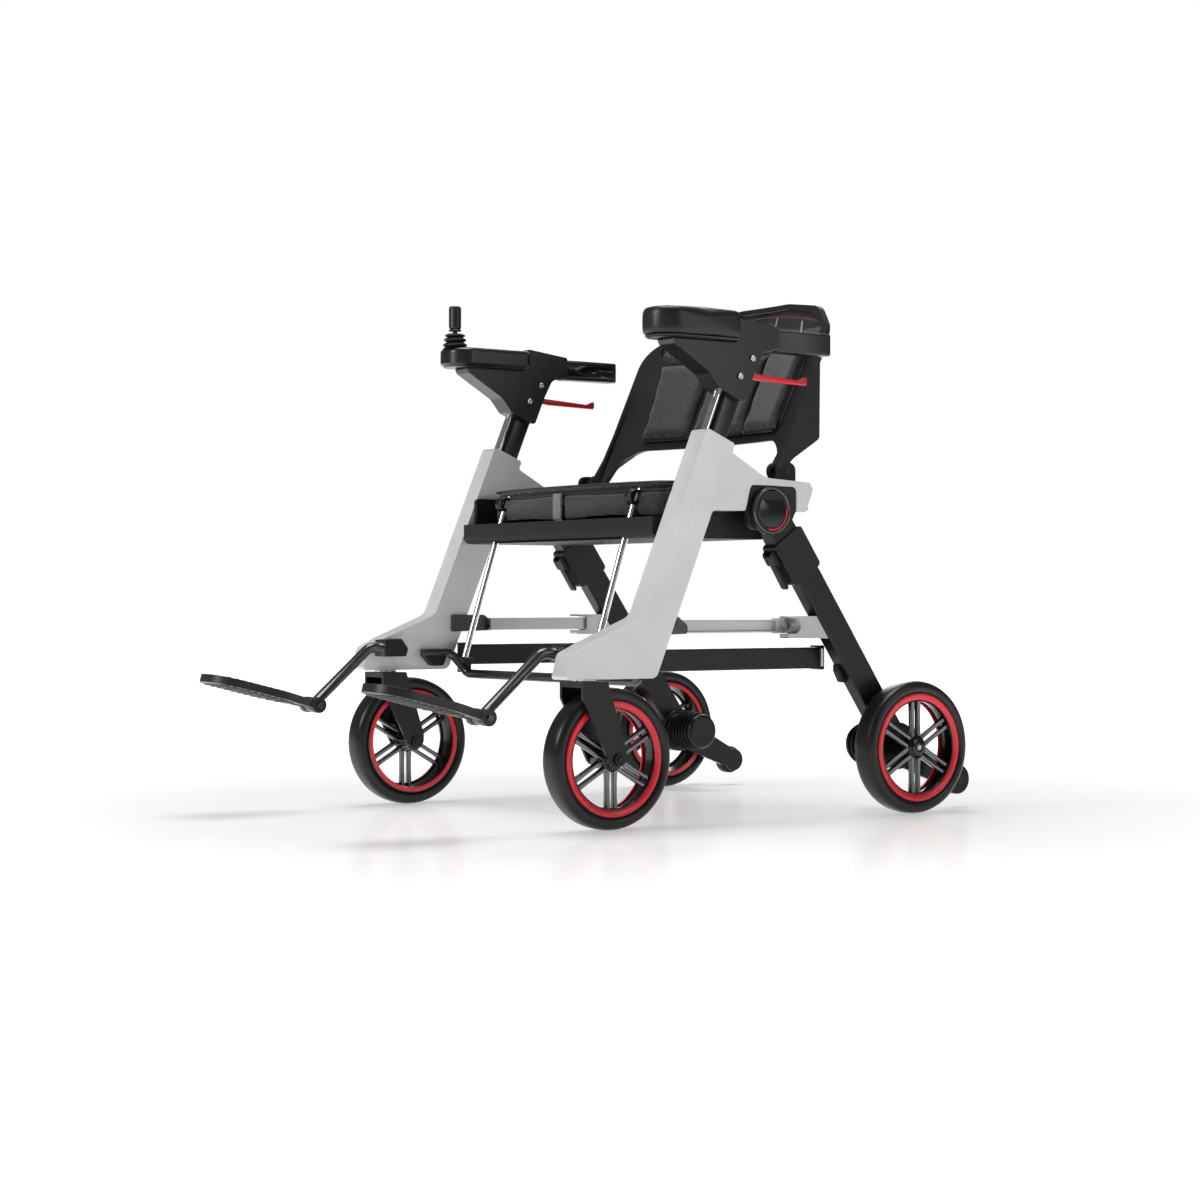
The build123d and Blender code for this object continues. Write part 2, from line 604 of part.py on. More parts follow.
def rim(x, centre, hub, bore_r=None):
    """Rim barrel, hub and paired spokes; the hub runs between two X limits."""
    barrel = across(RIM_R, (x - 17, x + 17), centre)
    barrel -= across(RIM_R - RIM_WALL, (x - 18, x + 18), centre)
    body = barrel + across(HUB_R, hub, centre)
    length = RIM_R - RIM_WALL / 2
    spoke = Pos(0, 0, length / 2) * Box(8, SPOKE_W, length)
    spoke = Pos(0, HUB_R * 0.62, 0) * spoke
    pair = spoke + mirror(spoke, about=Plane.XZ)
    for index in range(SPOKE_PAIRS):
        turned = Rot(index * 360 / SPOKE_PAIRS, 0, 0) * pair
        body += Pos(x + 8, *centre) * turned
    if bore_r:
        body -= across(bore_r, (hub[0] - 1, hub[1] + 1), centre)
    ring = across(RIM_R - 0.5, (x + 17, x + 20), centre)
    ring -= across(RIM_R - 10, (x + 16, x + 21), centre)
    return body, ring


def rear_wheel():
    body, ring = rim(REAR_X, REAR_AXLE, (LEG_OUT + 3.6, REAR_X + 17))
    shaft = across(SHAFT_R, (LEG_IN + 4, LEG_OUT + 10), REAR_AXLE)
    return body + shaft, ring


def front_centre():
    return (FRONT_AXLE_Y, WHEEL_R)


def front_wheel():
    half = TYRE_W / 2 + FORK_CLEAR - 0.4
    return rim(FRONT_X, front_centre(), (FRONT_X - half, FRONT_X + half), STEM_R + RUNNING)


def caster_fork():
    """Double-sided fork with its stem: the wheel trails behind the stem."""
    top = FOOT_Z - BEARING_T
    inner = TYRE_W / 2 + FORK_CLEAR
    y, z = front_centre()
    crown = block((FRONT_X - inner - FORK_T, FRONT_X + inner + FORK_T),
                  (STEM_Y - 21, STEM_Y + 21), (top - CROWN_T, top))
    points = [(STEM_Y - 21, top), (STEM_Y + 21, top), (y + 13, z + 12), (y + 13, z - 10),
              (y - 13, z - 10), (STEM_Y - 21, top - 24)]
    for side in (-1, 1):
        near = FRONT_X + side * inner
        x = sorted((near, near + side * FORK_T))
        crown += outline(points, x, [0.5, 0.5, 8, 12, 12, 10])
    stem = upright(STEM_R, (top - 1, FOOT_Z + 35), FRONT_X, STEM_Y)
    return crown + stem - across(STEM_R, (FRONT_X - 60, FRONT_X + 60), (y, z))


def caster_axle():
    reach = TYRE_W / 2 + FORK_CLEAR + FORK_T
    y, z = front_centre()
    bolt = across(STEM_R, (FRONT_X - reach, FRONT_X + reach), (y, z))
    for side in (-1, 1):
        x = sorted((FRONT_X + side * reach, FRONT_X + side * (reach + 4)))
        bolt += across(9, x, (y, z))
    return bolt


# ---------------------------------------------------------------- armrests
def arm_posts():
    """Black height post and the chrome guide rod in front of it."""
    low, high = RISE_S - POST_BURIED, RISE_S + POST_EXPOSED + POST_GRIP
    half = POST_T / 2
    post = outline([on_upright(low, POST_FROM), on_upright(high, POST_FROM),
                    on_upright(high, POST_FROM + POST_DEPTH),
                    on_upright(low, POST_FROM + POST_DEPTH)], (ARM_X - half, ARM_X + half))
    chrome = bar((ARM_X, *on_upright(low, CHROME_C)), (ARM_X, *on_upright(high, CHROME_C)),
                 CHROME_R)
    return post, chrome


def arm_bracket():
    """Housing between post, pad and rear bar, with a slot for the release lever."""
    sole = RISE_S + POST_EXPOSED
    pad_rear = SOLE[0] + PAD_FRONT + PAD_LEN
    bar_y, bar_z = on_arm(BAR_AT)
    points = [
        (on_upright(sole, 3), 5), (on_arm((-15.5, 21.0)), 14), (on_arm((-79.5, 59.0)), 8),
        ((SOLE[0] - 83.5, PAD_Z), 2), ((pad_rear + 0.5, PAD_Z), 2),
        ((pad_rear + 0.5, PAD_Z + 36), 6), ((bar_y, bar_z + 19), 4),
        ((bar_y, bar_z - BAR_H / 2 + 4), 4), (on_arm((82.5, 54.0)), 14),
        (on_arm((66.5, 24.0)), 20), (on_upright(sole, 52), 6),
    ]
    half = ARM_T / 2
    body = outline([p for p, _ in points], (ARM_X - half, ARM_X + half), [r for _, r in points])
    body = chamfer(body.faces().sort_by(Axis.X)[-1].edges(), 1.5)
    y, z = LEVER_PIN
    slot = block((ARM_X - LEVER_W / 2 - 0.6, ARM_X + LEVER_W / 2 + 0.6), (y - 9, y + 90),
                 (z - 14, z + 32))
    pin = across(LEVER_PIN_R, (ARM_X - 12, ARM_X + 12), LEVER_PIN)
    post, chrome = ARM_POSTS
    return body - slot + pin - post - chrome


def bracket_screws():
    """Heads of the two screws on the bracket's outer face."""
    x = (ARM_X + ARM_T / 2, ARM_X + ARM_T / 2 + 2)
    return across(5, x, on_arm((38.5, 18.0))) + across(5, x, on_arm((61.5, 45.0)))


def rear_bar():
    y, z = on_arm(BAR_AT)
    tube = block((ARM_X - BAR_W / 2, ARM_X + BAR_W / 2), (y, y + BAR_LEN),
                 (z - BAR_H / 2, z + BAR_H / 2))
    tube = fillet(tube.edges().filter_by(Axis.Y), 4)
    return fillet(tube.faces().sort_by(Axis.Y)[-1].edges(), 2)


def release_lever():
    """Red squeeze lever under the rear bar."""
    y, z = LEVER_PIN
    half = LEVER_W / 2
    points = [(y - 2, z + 6), (y + 20, z - 1), (y + LEVER_LEN, z - 6),
              (y + LEVER_LEN + 14, z - 1), (y + LEVER_LEN + 13, z - 12), (y + 30, z - 9.5),
              (y - 2, z - 6)]
    arm = outline(points, (ARM_X - half, ARM_X + half), [2, 6, 6, 2, 3, 10, 2])
    arm += across(7, (ARM_X - half, ARM_X + half), LEVER_PIN)
    return arm - across(LEVER_PIN_R + RUNNING, (ARM_X - 20, ARM_X + 20), LEVER_PIN)


def rest_body(height):
    """Body with a rounded nose, used for the arm pad and for the joystick's housing."""
    y0 = SOLE[0] + PAD_FRONT
    z0 = PAD_Z
    half = PAD_W / 2
    nose = 34.0
    shape = plan([(ARM_X - half, y0), (ARM_X + half, y0), (ARM_X + half, y0 + PAD_LEN),
                  (ARM_X - half, y0 + PAD_LEN)], (z0 + 0.05, z0 + height), [nose, nose, 10, 10])
    shape = fillet(shape.faces().sort_by(Axis.Z)[-1].edges(), 8)
    return chamfer(shape.faces().sort_by(Axis.Z)[0].edges(), 6)


STICK = (-STICK_AT[1], SOLE[0] + STICK_AT[0])
HOUSING_H = 31.0
STICK_Z = PAD_Z + HOUSING_H + 7.0
BUTTON = (-ARM_X, SOLE[0] + BUTTON_AT)
BUTTON_R = 7.0


def joystick_housing():
    top = PAD_Z + HOUSING_H
    body = other_side(rest_body(HOUSING_H))
    x, y = STICK
    for side in (-1, 1):
        post = block(sorted((x + side * 9, x + side * 12.5)), (y - 4, y + 4), (top - 1, STICK_Z + 4))
        body += post
    body -= bar((x - 14, y, STICK_Z), (x + 14, y, STICK_Z), 1.5 + RUNNING)
    return body - upright(BUTTON_R + 0.2, (top - 5, top + 1), *BUTTON)


def joystick_gimbal():
    x, y = STICK
    core = block((x - 4, x + 4), (y - 4, y + 4), (STICK_Z - 3, STICK_Z + 3))
    core += bar((x - 12.4, y, STICK_Z), (x + 12.4, y, STICK_Z), 1.5)
    return core - bar((x, y - 5, STICK_Z), (x, y + 5, STICK_Z), 1.5 + RUNNING)


def joystick_stick():
    """Yoke over the gimbal, shaft and grip."""
    x, y = STICK
    yoke = block((x - 3, x + 3), (y - 6.5, y + 6.5), (STICK_Z - 3, STICK_Z + 8))
    yoke -= block((x - 5, x + 5), (y - 4.5, y + 4.5), (STICK_Z - 4, STICK_Z + 5))
    pin = bar((x, y - 6.5, STICK_Z), (x, y + 6.5, STICK_Z), 1.5)
    shaft = upright(3.5, (STICK_Z + 7, STICK_Z + 26), x, y)
    grip = upright(10, (STICK_Z + 23, STICK_Z + 60), x, y)
    return yoke + pin + shaft + fillet(grip.edges(), 3.5)


def joystick_boot():
    """Ribbed boot around the stick, open in the middle so that the stick can tilt."""
    x, y = STICK
    base = PAD_Z + HOUSING_H
    boot = upright(20, (base, base + 9), x, y)
    boot += upright(17.5, (base + 8, base + 17), x, y)
    boot += upright(15.5, (base + 16, base + 24), x, y)
    boot -= upright(14, (base - 1, base + 13), x, y)
    return boot - upright(11.5, (base - 1, base + 25), x, y)


def power_button():
    top = PAD_Z + HOUSING_H
    return upright(BUTTON_R, (top - 3, top + 2), *BUTTON)


# ---------------------------------------------------------------- footrests
def hanger():
    y, z = TOE_AT
    points = [(HANGER_X, *place((-30.0, 32.0))), (HANGER_X, *place((-88.0, 37.0))),
              (HANGER_X, y, z)]
    tube = tube_path(points, 22.0, HANGER_R) + across(11, (HANGER_X - 9, HANGER_X + 9), TOE_AT)
    pin = across(TOE_PIN_R, (HANGER_X - 26, HANGER_X + 26), TOE_AT)
    socket_y, socket_z = place((-66.0, 22.0))
    socket = outline([(socket_y, socket_z), (socket_y + 38, socket_z), (socket_y + 42, socket_z + 12),
                      (socket_y + 30, socket_z + 28), (socket_y, socket_z + 26)],
                     (HANGER_X - HANGER_R - 2, FRAME_IN), [3, 4, 6, 6, 3])
    return tube + pin + socket


def on_plate(forward, up):
    """Y and Z of a point forward along the footplate from its pivot, and above its middle."""
    tilt = radians(PLATE_TILT)
    y, z = TOE_AT
    return (y - forward * cos(tilt) + up * sin(tilt), z + forward * sin(tilt) + up * cos(tilt))


def footplate():
    """Tongue-shaped tread with two knuckles around the hanger's eye."""
    half = PLATE_W / 2
    x = HANGER_X + 4
    tread = make_face(FilletPolyline(
        (x - 26, 14), (x - half, 70), (x - half, PLATE_LEN), (x + half, PLATE_LEN),
        (x + half, 70), (x + 22, 14), radius=[4, 40, 44, 44, 40, 4], close=True))
    sheet = Plane((0, *on_plate(0, 0)), x_dir=(1, 0, 0),
                  z_dir=(0, sin(radians(PLATE_TILT)), cos(radians(PLATE_TILT))))
    flipped = mirror(tread, about=Plane.XZ)
    body = extrude(sheet * flipped, PLATE_THICK / 2, both=True)
    eye_gap = (HANGER_X - 9.5, HANGER_X + 9.5)
    body -= outline([on_plate(-5, 20), on_plate(36, 20), on_plate(36, -20), on_plate(-5, -20)],
                    eye_gap)
    for side in (-1, 1):
        limits = sorted((HANGER_X + side * 9.5, HANGER_X + side * 22))
        body += across(KNUCKLE_R, limits, TOE_AT)
        body += outline([on_plate(0, 6), on_plate(30, 6), on_plate(30, -6), on_plate(0, -6)], limits)
    return body - across(TOE_PIN_R + RUNNING, (HANGER_X - 40, HANGER_X + 40), TOE_AT)


# ---------------------------------------------------------------- backrest
def bowed_panel(low, high, thickness, setback=0.0):
    """Blank with a circular bow across the chair, leaning back, a little wider than the back."""
    lean = tan(radians(BACK_LEAN))
    half = BACK_HALF + 12
    y = BACK_AT[0] + setback
    bow = BACK_SAG * (half / BACK_HALF) ** 2
    middle = y + BACK_SAG

    def arc(offset):
        return ThreePointArc((-half, middle - bow + offset), (0, middle + offset),
                             (half, middle - bow + offset))
    front, rear = arc(0), arc(thickness)
    edges = [front, Line(front @ 1, rear @ 1), rear, Line(rear @ 0, front @ 0)]
    face = make_face(edges)
    z = (BACK_AT[1] + low, BACK_AT[1] + high)
    sheet = Pos(0, low * lean, z[0]) * face
    top = Pos(0, high * lean, z[1]) * face
    return loft([sheet, top])


def back_outline(points, radii):
    """Outline seen from the front, pulled right through the backrest; heights are from the pivot."""
    right = [(x, BACK_AT[1] + z) for x, z in points]
    left = [(-x, z) for x, z in reversed(right)]
    edge = FilletPolyline(*right, *left, radius=list(radii) + list(reversed(radii)), close=True)
    return extrude(Plane.XZ * make_face(edge), 700, both=True)


def back_window(margin=0.0):
    """Outline of the opening that the mesh fills."""
    side = WINDOW_HALF - margin
    return back_outline([(BACK_HALF - 130, WINDOW_LOW + margin), (side - 14, WINDOW_LOW + margin),
                         (side, PAD_TOP), (side + 26, PAD_TOP + 26), (side - 40, WINDOW_HIGH - 16 - margin),
                         (60, WINDOW_HIGH - margin)], [0, 14, 30, 14, 60, 80])


def backrest_frame():
    """Black shell: bowed wings around the opening for the mesh, tapering down to each pivot."""
    shell = bowed_panel(-20, BACK_HEIGHT + 8, BACK_T)
    silhouette = back_outline(
        [(BACK_HALF - 60, WING_ARCH), (BACK_HALF - 26, WING_ARCH - 22), (BACK_HALF - 13, -13),
         (BACK_HALF, -13), (BACK_HALF, BACK_HEIGHT - 62), (BACK_HALF - 76, BACK_HEIGHT - 14),
         (60, BACK_HEIGHT)], [60, 40, 2, 6, 46, 90, 120])
    body = (shell & silhouette) - back_window()
    lean = tan(radians(BACK_LEAN))
    y, z = BACK_AT
    arm = outline([(y - 10, z), (y - 2 + 40 * lean, z + 40), (y + 5 + FIN_RISE * lean, z + FIN_RISE),
                   (y + 7 + FIN_RISE * lean, z + FIN_RISE), (y + FIN_DEPTH, z + WING_ARCH),
                   (y + 32, z + 20), (y + 9, z - 4)],
                  (BACK_HALF - BACK_T, BACK_HALF), [3, 20, 0, 0, 10, 30, 3])
    arm += across(13, (BACK_HALF - BACK_T, BACK_HALF), BACK_AT)
    arm += across(5, (BACK_HALF - 1, PLATE_OUT + 0.5), BACK_AT)
    return body + arm + other_side(arm)


def backrest_pads():
    """Three padded panels on the front of the mesh."""
    whole = bowed_panel(WINDOW_LOW + 2, PAD_TOP, PAD_T, -PAD_T + 1.5)
    whole &= back_window(3.0)
    panels = []
    for x in ((-WINDOW_HALF, -PAD_SPLIT - 2), (2 - PAD_SPLIT, PAD_SPLIT - 2),
              (PAD_SPLIT + 2, WINDOW_HALF)):
        panels.append(whole & block(x, (-600, 900), (0, 1500)))
    return panels


def backrest_mesh():
    """Taut mesh that fills the shell's opening."""
    sheet = bowed_panel(WINDOW_LOW - 2, WINDOW_HIGH + 2, 4, 2.0)
    return sheet & back_window(0.2)


# ---------------------------------------------------------------- build
os.makedirs("parts", exist_ok=True)

SIDE_FRAME = side_frame()
CROSS_TUBE = cross_tube()
UPPER_LEG = upper_leg()
LOWER_LEG = lower_leg()
ARM_POSTS = arm_posts()

save_both("side_frame", SIDE_FRAME)
for name, piece in (
    ("hinge_covers", hinge_cover()), ("brace_tabs", brace_tab()), ("support_rods", support_rod()),
    ("lower_rails", lower_rail()), ("rail_end_caps", rail_cap()),
    ("footrest_hangers", hanger()), ("caster_bearings", caster_bearing()),
    ("upper_legs", UPPER_LEG), ("lower_legs", LOWER_LEG), ("leg_collars", leg_collar()),
    ("leg_catches", leg_catch()), ("brace_brackets", brace_bracket()),
    ("drive_motors", drive_motor()), ("antitip_arms", antitip_arm()),
):
    save(name, piece, other_side(piece))
save("front_cross_tube", CROSS_TUBE)
tube_fittings = (frame_bracket(), stub_clamp())
save("tube_brackets", *tube_fittings, *[other_side(piece) for piece in tube_fittings])
save("seat_frame", seat_frame())
save("seat_cushion", seat_cushion())
save("battery_pack", battery_pack())
save("motor_controller", motor_controller())
save("leg_torsion_tube", torsion_tube())
save_both("collar_lever", collar_lever())
save_both("brace_bar", brace_bar())
save_both("antitip_roller", antitip_roller())
save_both("rear_tyre", tyre(REAR_X, REAR_AXLE))
save_both("front_tyre", tyre(FRONT_X, front_centre()))
for name, (body, ring) in (("rear_rim", rear_wheel()), ("front_rim", front_wheel())):
    save(f"left_{name}", body, ring)
    save(f"right_{name}", other_side(body), other_side(ring))
save_both("caster_fork", caster_fork())
save_both("caster_axle", caster_axle())
save("left_arm_posts", *ARM_POSTS)
save("right_arm_posts", *[other_side(piece) for piece in ARM_POSTS])
save_both("arm_bracket", arm_bracket() + bracket_screws())
save_both("rear_bar", rear_bar())
save_both("release_lever", release_lever())
save("left_arm_pad", rest_body(PAD_H))
save("joystick_housing", joystick_housing())
save("joystick_gimbal", joystick_gimbal())
save("joystick_stick", joystick_stick())
save("joystick_boot", joystick_boot())
save("power_button", power_button())
save_both("footplate", footplate())
save("backrest_frame", backrest_frame())
save("backrest_pads", *backrest_pads())
save("backrest_mesh", backrest_mesh())
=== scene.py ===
import bpy
import bmesh
from math import cos, pi, radians, sin
from mathutils import Matrix, Vector


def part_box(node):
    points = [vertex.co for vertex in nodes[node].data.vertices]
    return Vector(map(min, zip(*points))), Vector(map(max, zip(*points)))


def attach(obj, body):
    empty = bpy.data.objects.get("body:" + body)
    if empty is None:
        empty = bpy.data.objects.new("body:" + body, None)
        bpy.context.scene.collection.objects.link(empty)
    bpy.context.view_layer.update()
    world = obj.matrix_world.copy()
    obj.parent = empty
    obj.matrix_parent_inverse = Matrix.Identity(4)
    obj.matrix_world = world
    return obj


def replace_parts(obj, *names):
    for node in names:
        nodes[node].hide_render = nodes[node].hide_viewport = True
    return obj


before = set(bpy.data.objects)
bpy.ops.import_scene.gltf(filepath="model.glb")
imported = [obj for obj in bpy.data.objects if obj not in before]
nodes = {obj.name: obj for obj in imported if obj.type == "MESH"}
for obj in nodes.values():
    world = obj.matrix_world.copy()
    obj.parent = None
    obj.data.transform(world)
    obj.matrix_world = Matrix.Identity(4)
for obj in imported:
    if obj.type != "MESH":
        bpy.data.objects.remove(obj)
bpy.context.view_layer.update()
SIDES = (("left", 1), ("right", -1))

# Camera, lights and floor.
# The wheelchair stands on a pale, slightly glossy studio floor under large soft lights.
camera_data = bpy.data.cameras.new("camera")
camera_data.sensor_width = 36.0
camera_data.lens = 72.6045
camera_data.clip_end = 60.0
camera = bpy.data.objects.new("camera", camera_data)
camera.location = (3.041, -2.1252, 0.3239)
camera.rotation_euler = (radians(89.9774), 0.0, radians(54.7353))
bpy.context.collection.objects.link(camera)
bpy.context.scene.camera = camera

sky = bpy.data.worlds.new("studio")
sky.use_nodes = True
sky_make, sky_join = sky.node_tree.nodes.new, sky.node_tree.links.new
sky_seen, sky_lit = sky.node_tree.nodes["Background"], sky_make("ShaderNodeBackground")
sky_seen.inputs["Color"].default_value = (1.0, 1.0, 1.0, 1.0)
sky_lit.inputs["Color"].default_value = (1.0, 1.0, 1.0, 1.0)
sky_lit.inputs["Strength"].default_value = 0.17
sky_ray, sky_mix = sky_make("ShaderNodeLightPath"), sky_make("ShaderNodeMixShader")
sky_join(sky_ray.outputs["Is Camera Ray"], sky_mix.inputs["Fac"])
sky_join(sky_lit.outputs["Background"], sky_mix.inputs[1])
sky_join(sky_seen.outputs["Background"], sky_mix.inputs[2])
sky_join(sky_mix.outputs["Shader"], sky.node_tree.nodes["World Output"].inputs["Surface"])
bpy.context.scene.world = sky
bpy.context.scene.view_settings.view_transform = "Standard"


def soft_light(name, place, target, size, power):
    """Large square lamp aimed at a point."""
    lamp = bpy.data.lights.new(name, "AREA")
    lamp.shape = "RECTANGLE"
    lamp.size, lamp.size_y = size
    lamp.energy = power
    lamp_object = bpy.data.objects.new(name, lamp)
    lamp_object.location = place
    aim = Vector(target) - Vector(place)
    lamp_object.rotation_euler = aim.to_track_quat("-Z", "Y").to_euler()
    bpy.context.collection.objects.link(lamp_object)


soft_light("front_softbox", (-0.4, -3.2, 1.8), (0, 0, 0.45), (1.0, 1.2), 58)
soft_light("left_softbox", (3.0, 1.5, 1.5), (0, 0, 0.45), (0.8, 1.8), 13)
soft_light("top_softbox", (-0.3, 0.2, 3.2), (0, 0, 0.4), (1.6, 1.6), 72)
soft_light("back_softbox", (-2.6, 2.4, 1.8), (0, 0, 0.5), (1.2, 1.8), 36)

floor_mesh = bmesh.new()
bmesh.ops.create_grid(floor_mesh, x_segments=1, y_segments=1, size=14.0)
floor_data = bpy.data.meshes.new("studio_floor")
floor_mesh.to_mesh(floor_data)
floor_mesh.free()
floor = bpy.data.objects.new("studio_floor", floor_data)
floor.location = (0, 0, -0.0005)
bpy.context.collection.objects.link(floor)
paint = bpy.data.materials.new("floor_paint")
paint.use_nodes = True
paint.node_tree.nodes["Principled BSDF"].inputs["Base Color"].default_value = (0.93, 0.93, 0.93, 1)
paint.node_tree.nodes["Principled BSDF"].inputs["Roughness"].default_value = 0.14
paint.node_tree.nodes["Principled BSDF"].inputs["Emission Color"].default_value = (1, 1, 1, 1)
far_make, far_join = paint.node_tree.nodes.new, paint.node_tree.links.new
far_place, far_length, far_glow = (far_make("ShaderNodeTexCoord"), far_make("ShaderNodeVectorMath"),
                                   far_make("ShaderNodeMapRange"))
far_length.operation = "LENGTH"
far_glow.inputs["From Min"].default_value, far_glow.inputs["From Max"].default_value = 0.6, 2.4
far_glow.inputs["To Min"].default_value, far_glow.inputs["To Max"].default_value = 0.36, 1.05
far_join(far_place.outputs["Object"], far_length.inputs[0])
far_join(far_length.outputs["Value"], far_glow.inputs["Value"])
far_join(far_glow.outputs["Result"], paint.node_tree.nodes["Principled BSDF"].inputs["Emission Strength"])
paint.node_tree.nodes["Principled BSDF"].inputs["Specular IOR Level"].default_value = 0.6
floor_data.materials.append(paint)

# Side frames.
# Two silver-painted light-alloy castings: the foot over the caster, the leaning upright and the
# arm back to the leg hinge. Their edges are rounded in the mould.


def coating(name, colour, roughness, metallic=0.0, speckle=900.0, relief=0.02, mottle=0.06, gloss=0.5):
    """Paint, plastic or bare metal with a fine surface grain and a faint cloudiness."""
    finish = bpy.data.materials.new(name)
    finish.use_nodes = True
    make, join = finish.node_tree.nodes.new, finish.node_tree.links.new
    shader = finish.node_tree.nodes["Principled BSDF"]
    shader.inputs["Metallic"].default_value = metallic
    shader.inputs["Specular IOR Level"].default_value = gloss
    place = make("ShaderNodeTexCoord")
    cloud = make("ShaderNodeTexNoise")
    cloud.inputs["Scale"].default_value = 14.0
    cloud.inputs["Detail"].default_value = 5.0
    join(place.outputs["Object"], cloud.inputs["Vector"])
    tint = make("ShaderNodeValToRGB")
    tint.color_ramp.elements[0].position = 0.3
    tint.color_ramp.elements[1].position = 0.72
    tint.color_ramp.elements[0].color = (*[c * (1 - mottle) for c in colour], 1)
    tint.color_ramp.elements[1].color = (*[min(1, c * (1 + mottle)) for c in colour], 1)
    join(cloud.outputs["Fac"], tint.inputs["Fac"])
    join(tint.outputs["Color"], shader.inputs["Base Color"])
    sheen = make("ShaderNodeMapRange")
    sheen.inputs["To Min"].default_value = max(0.02, roughness * 0.85)
    sheen.inputs["To Max"].default_value = roughness * 1.15
    join(cloud.outputs["Fac"], sheen.inputs["Value"])
    join(sheen.outputs["Result"], shader.inputs["Roughness"])
    grain = make("ShaderNodeTexNoise")
    grain.inputs["Scale"].default_value = speckle
    grain.inputs["Detail"].default_value = 2.0
    join(place.outputs["Object"], grain.inputs["Vector"])
    bump = make("ShaderNodeBump")
    bump.inputs["Strength"].default_value = relief
    bump.inputs["Distance"].default_value = 0.001
    join(grain.outputs["Fac"], bump.inputs["Height"])
    join(bump.outputs["Normal"], shader.inputs["Normal"])
    return finish


def to_piece(mesh, name, finish, body, smooth=35.0):
    """Turns a bmesh into a piece that rides on a body, shaded smooth up to an edge angle."""
    data = bpy.data.meshes.new(name)
    mesh.to_mesh(data)
    mesh.free()
    data.shade_smooth()
    data.set_sharp_from_angle(angle=radians(smooth))
    piece = bpy.data.objects.new(name, data)
    bpy.context.collection.objects.link(piece)
    data.materials.append(finish)
    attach(piece, body)
    return piece


def joined_faces(node):
    """The node's surface with its triangles joined into whole faces."""
    mesh = bmesh.new()
    mesh.from_mesh(nodes[node].data)
    bmesh.ops.remove_doubles(mesh, verts=mesh.verts, dist=0.00002)
    bmesh.ops.dissolve_limit(mesh, angle_limit=radians(0.5), verts=mesh.verts, edges=mesh.edges)
    return mesh


def soften(mesh, radius, angle=35.0, segments=3):
    """Rounds a mesh's sharp edges."""
    sharp = [e for e in mesh.edges if e.is_manifold and e.calc_face_angle(0) > radians(angle)]
    bmesh.ops.bevel(mesh, geom=sharp, offset=radius, offset_type="OFFSET", segments=segments,
                    profile=0.5, affect="EDGES", material=-1, clamp_overlap=True)
    bmesh.ops.recalc_face_normals(mesh, faces=mesh.faces)
    return mesh


def rounded(node, finish, radius, body, angle=35.0, segments=3):
    """The node with its sharp edges rounded, standing in for it."""
    mesh = soften(joined_faces(node), radius, angle, segments)
    piece = to_piece(mesh, node + "_finished", finish, body)
    crisp = piece.modifiers.new("weighted_normals", "WEIGHTED_NORMAL")
    crisp.keep_sharp = True
    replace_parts(piece, node)
    return piece


silver_paint = coating("silver_paint", (0.68, 0.685, 0.69), 0.30, metallic=0.25, speckle=1600, relief=0.015)
for side, sign in SIDES:
    rounded(f"{side}_side_frame", silver_paint, 0.0035, "main_frame")

# Leg hinge covers.
# A black moulded plate fills the arm's recess over each leg hinge. On it sit a polished ring and a
# flat-topped disc, with a red arc let into the lower half of the groove between them.
gloss_black = coating("gloss_black", (0.004, 0.004, 0.0045), 0.16, mottle=0.1, speckle=600, relief=0.01,
                      gloss=0.45)
black_plastic = coating("black_plastic", (0.0065, 0.0065, 0.007), 0.42, mottle=0.12, speckle=1500,
                        relief=0.12, gloss=0.32)
ring_metal = coating("ring_metal", (0.10, 0.10, 0.105), 0.22, metallic=0.9, mottle=0.1)
signal_red = coating("signal_red", (0.62, 0.012, 0.022), 0.30, mottle=0.08, speckle=900, relief=0.02)
_, cover_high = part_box("hinge_covers")
HINGE_Y, HINGE_Z = 0.122, 0.455
CAP_FACE = cover_high.x


def turned(profile, centre, sign=1, segments=72, angle=2 * pi, start=0.0):
    """A piece turned on a lathe about an axis along X. The profile is (x, radius) pairs."""
    mesh = bmesh.new()
    verts = [mesh.verts.new((x, 0.0, r)) for x, r in profile]
    edges = [mesh.edges.new(pair) for pair in zip(verts, verts[1:])]
    whole = abs(angle - 2 * pi) < 1e-6
    if start:
        bmesh.ops.rotate(mesh, verts=verts, cent=(0, 0, 0), matrix=Matrix.Rotation(start, 3, "X"))
    bmesh.ops.spin(mesh, geom=verts + edges, cent=(0, 0, 0), axis=(1, 0, 0), angle=angle,
                   steps=segments, use_merge=whole, use_normal_flip=False)
    bmesh.ops.remove_doubles(mesh, verts=mesh.verts, dist=0.000001)
    bmesh.ops.holes_fill(mesh, edges=mesh.edges, sides=0)
    bmesh.ops.scale(mesh, verts=mesh.verts, vec=(sign, 1, 1))
    bmesh.ops.translate(mesh, verts=mesh.verts, vec=centre)
    bmesh.ops.recalc_face_normals(mesh, faces=mesh.faces)
    return mesh


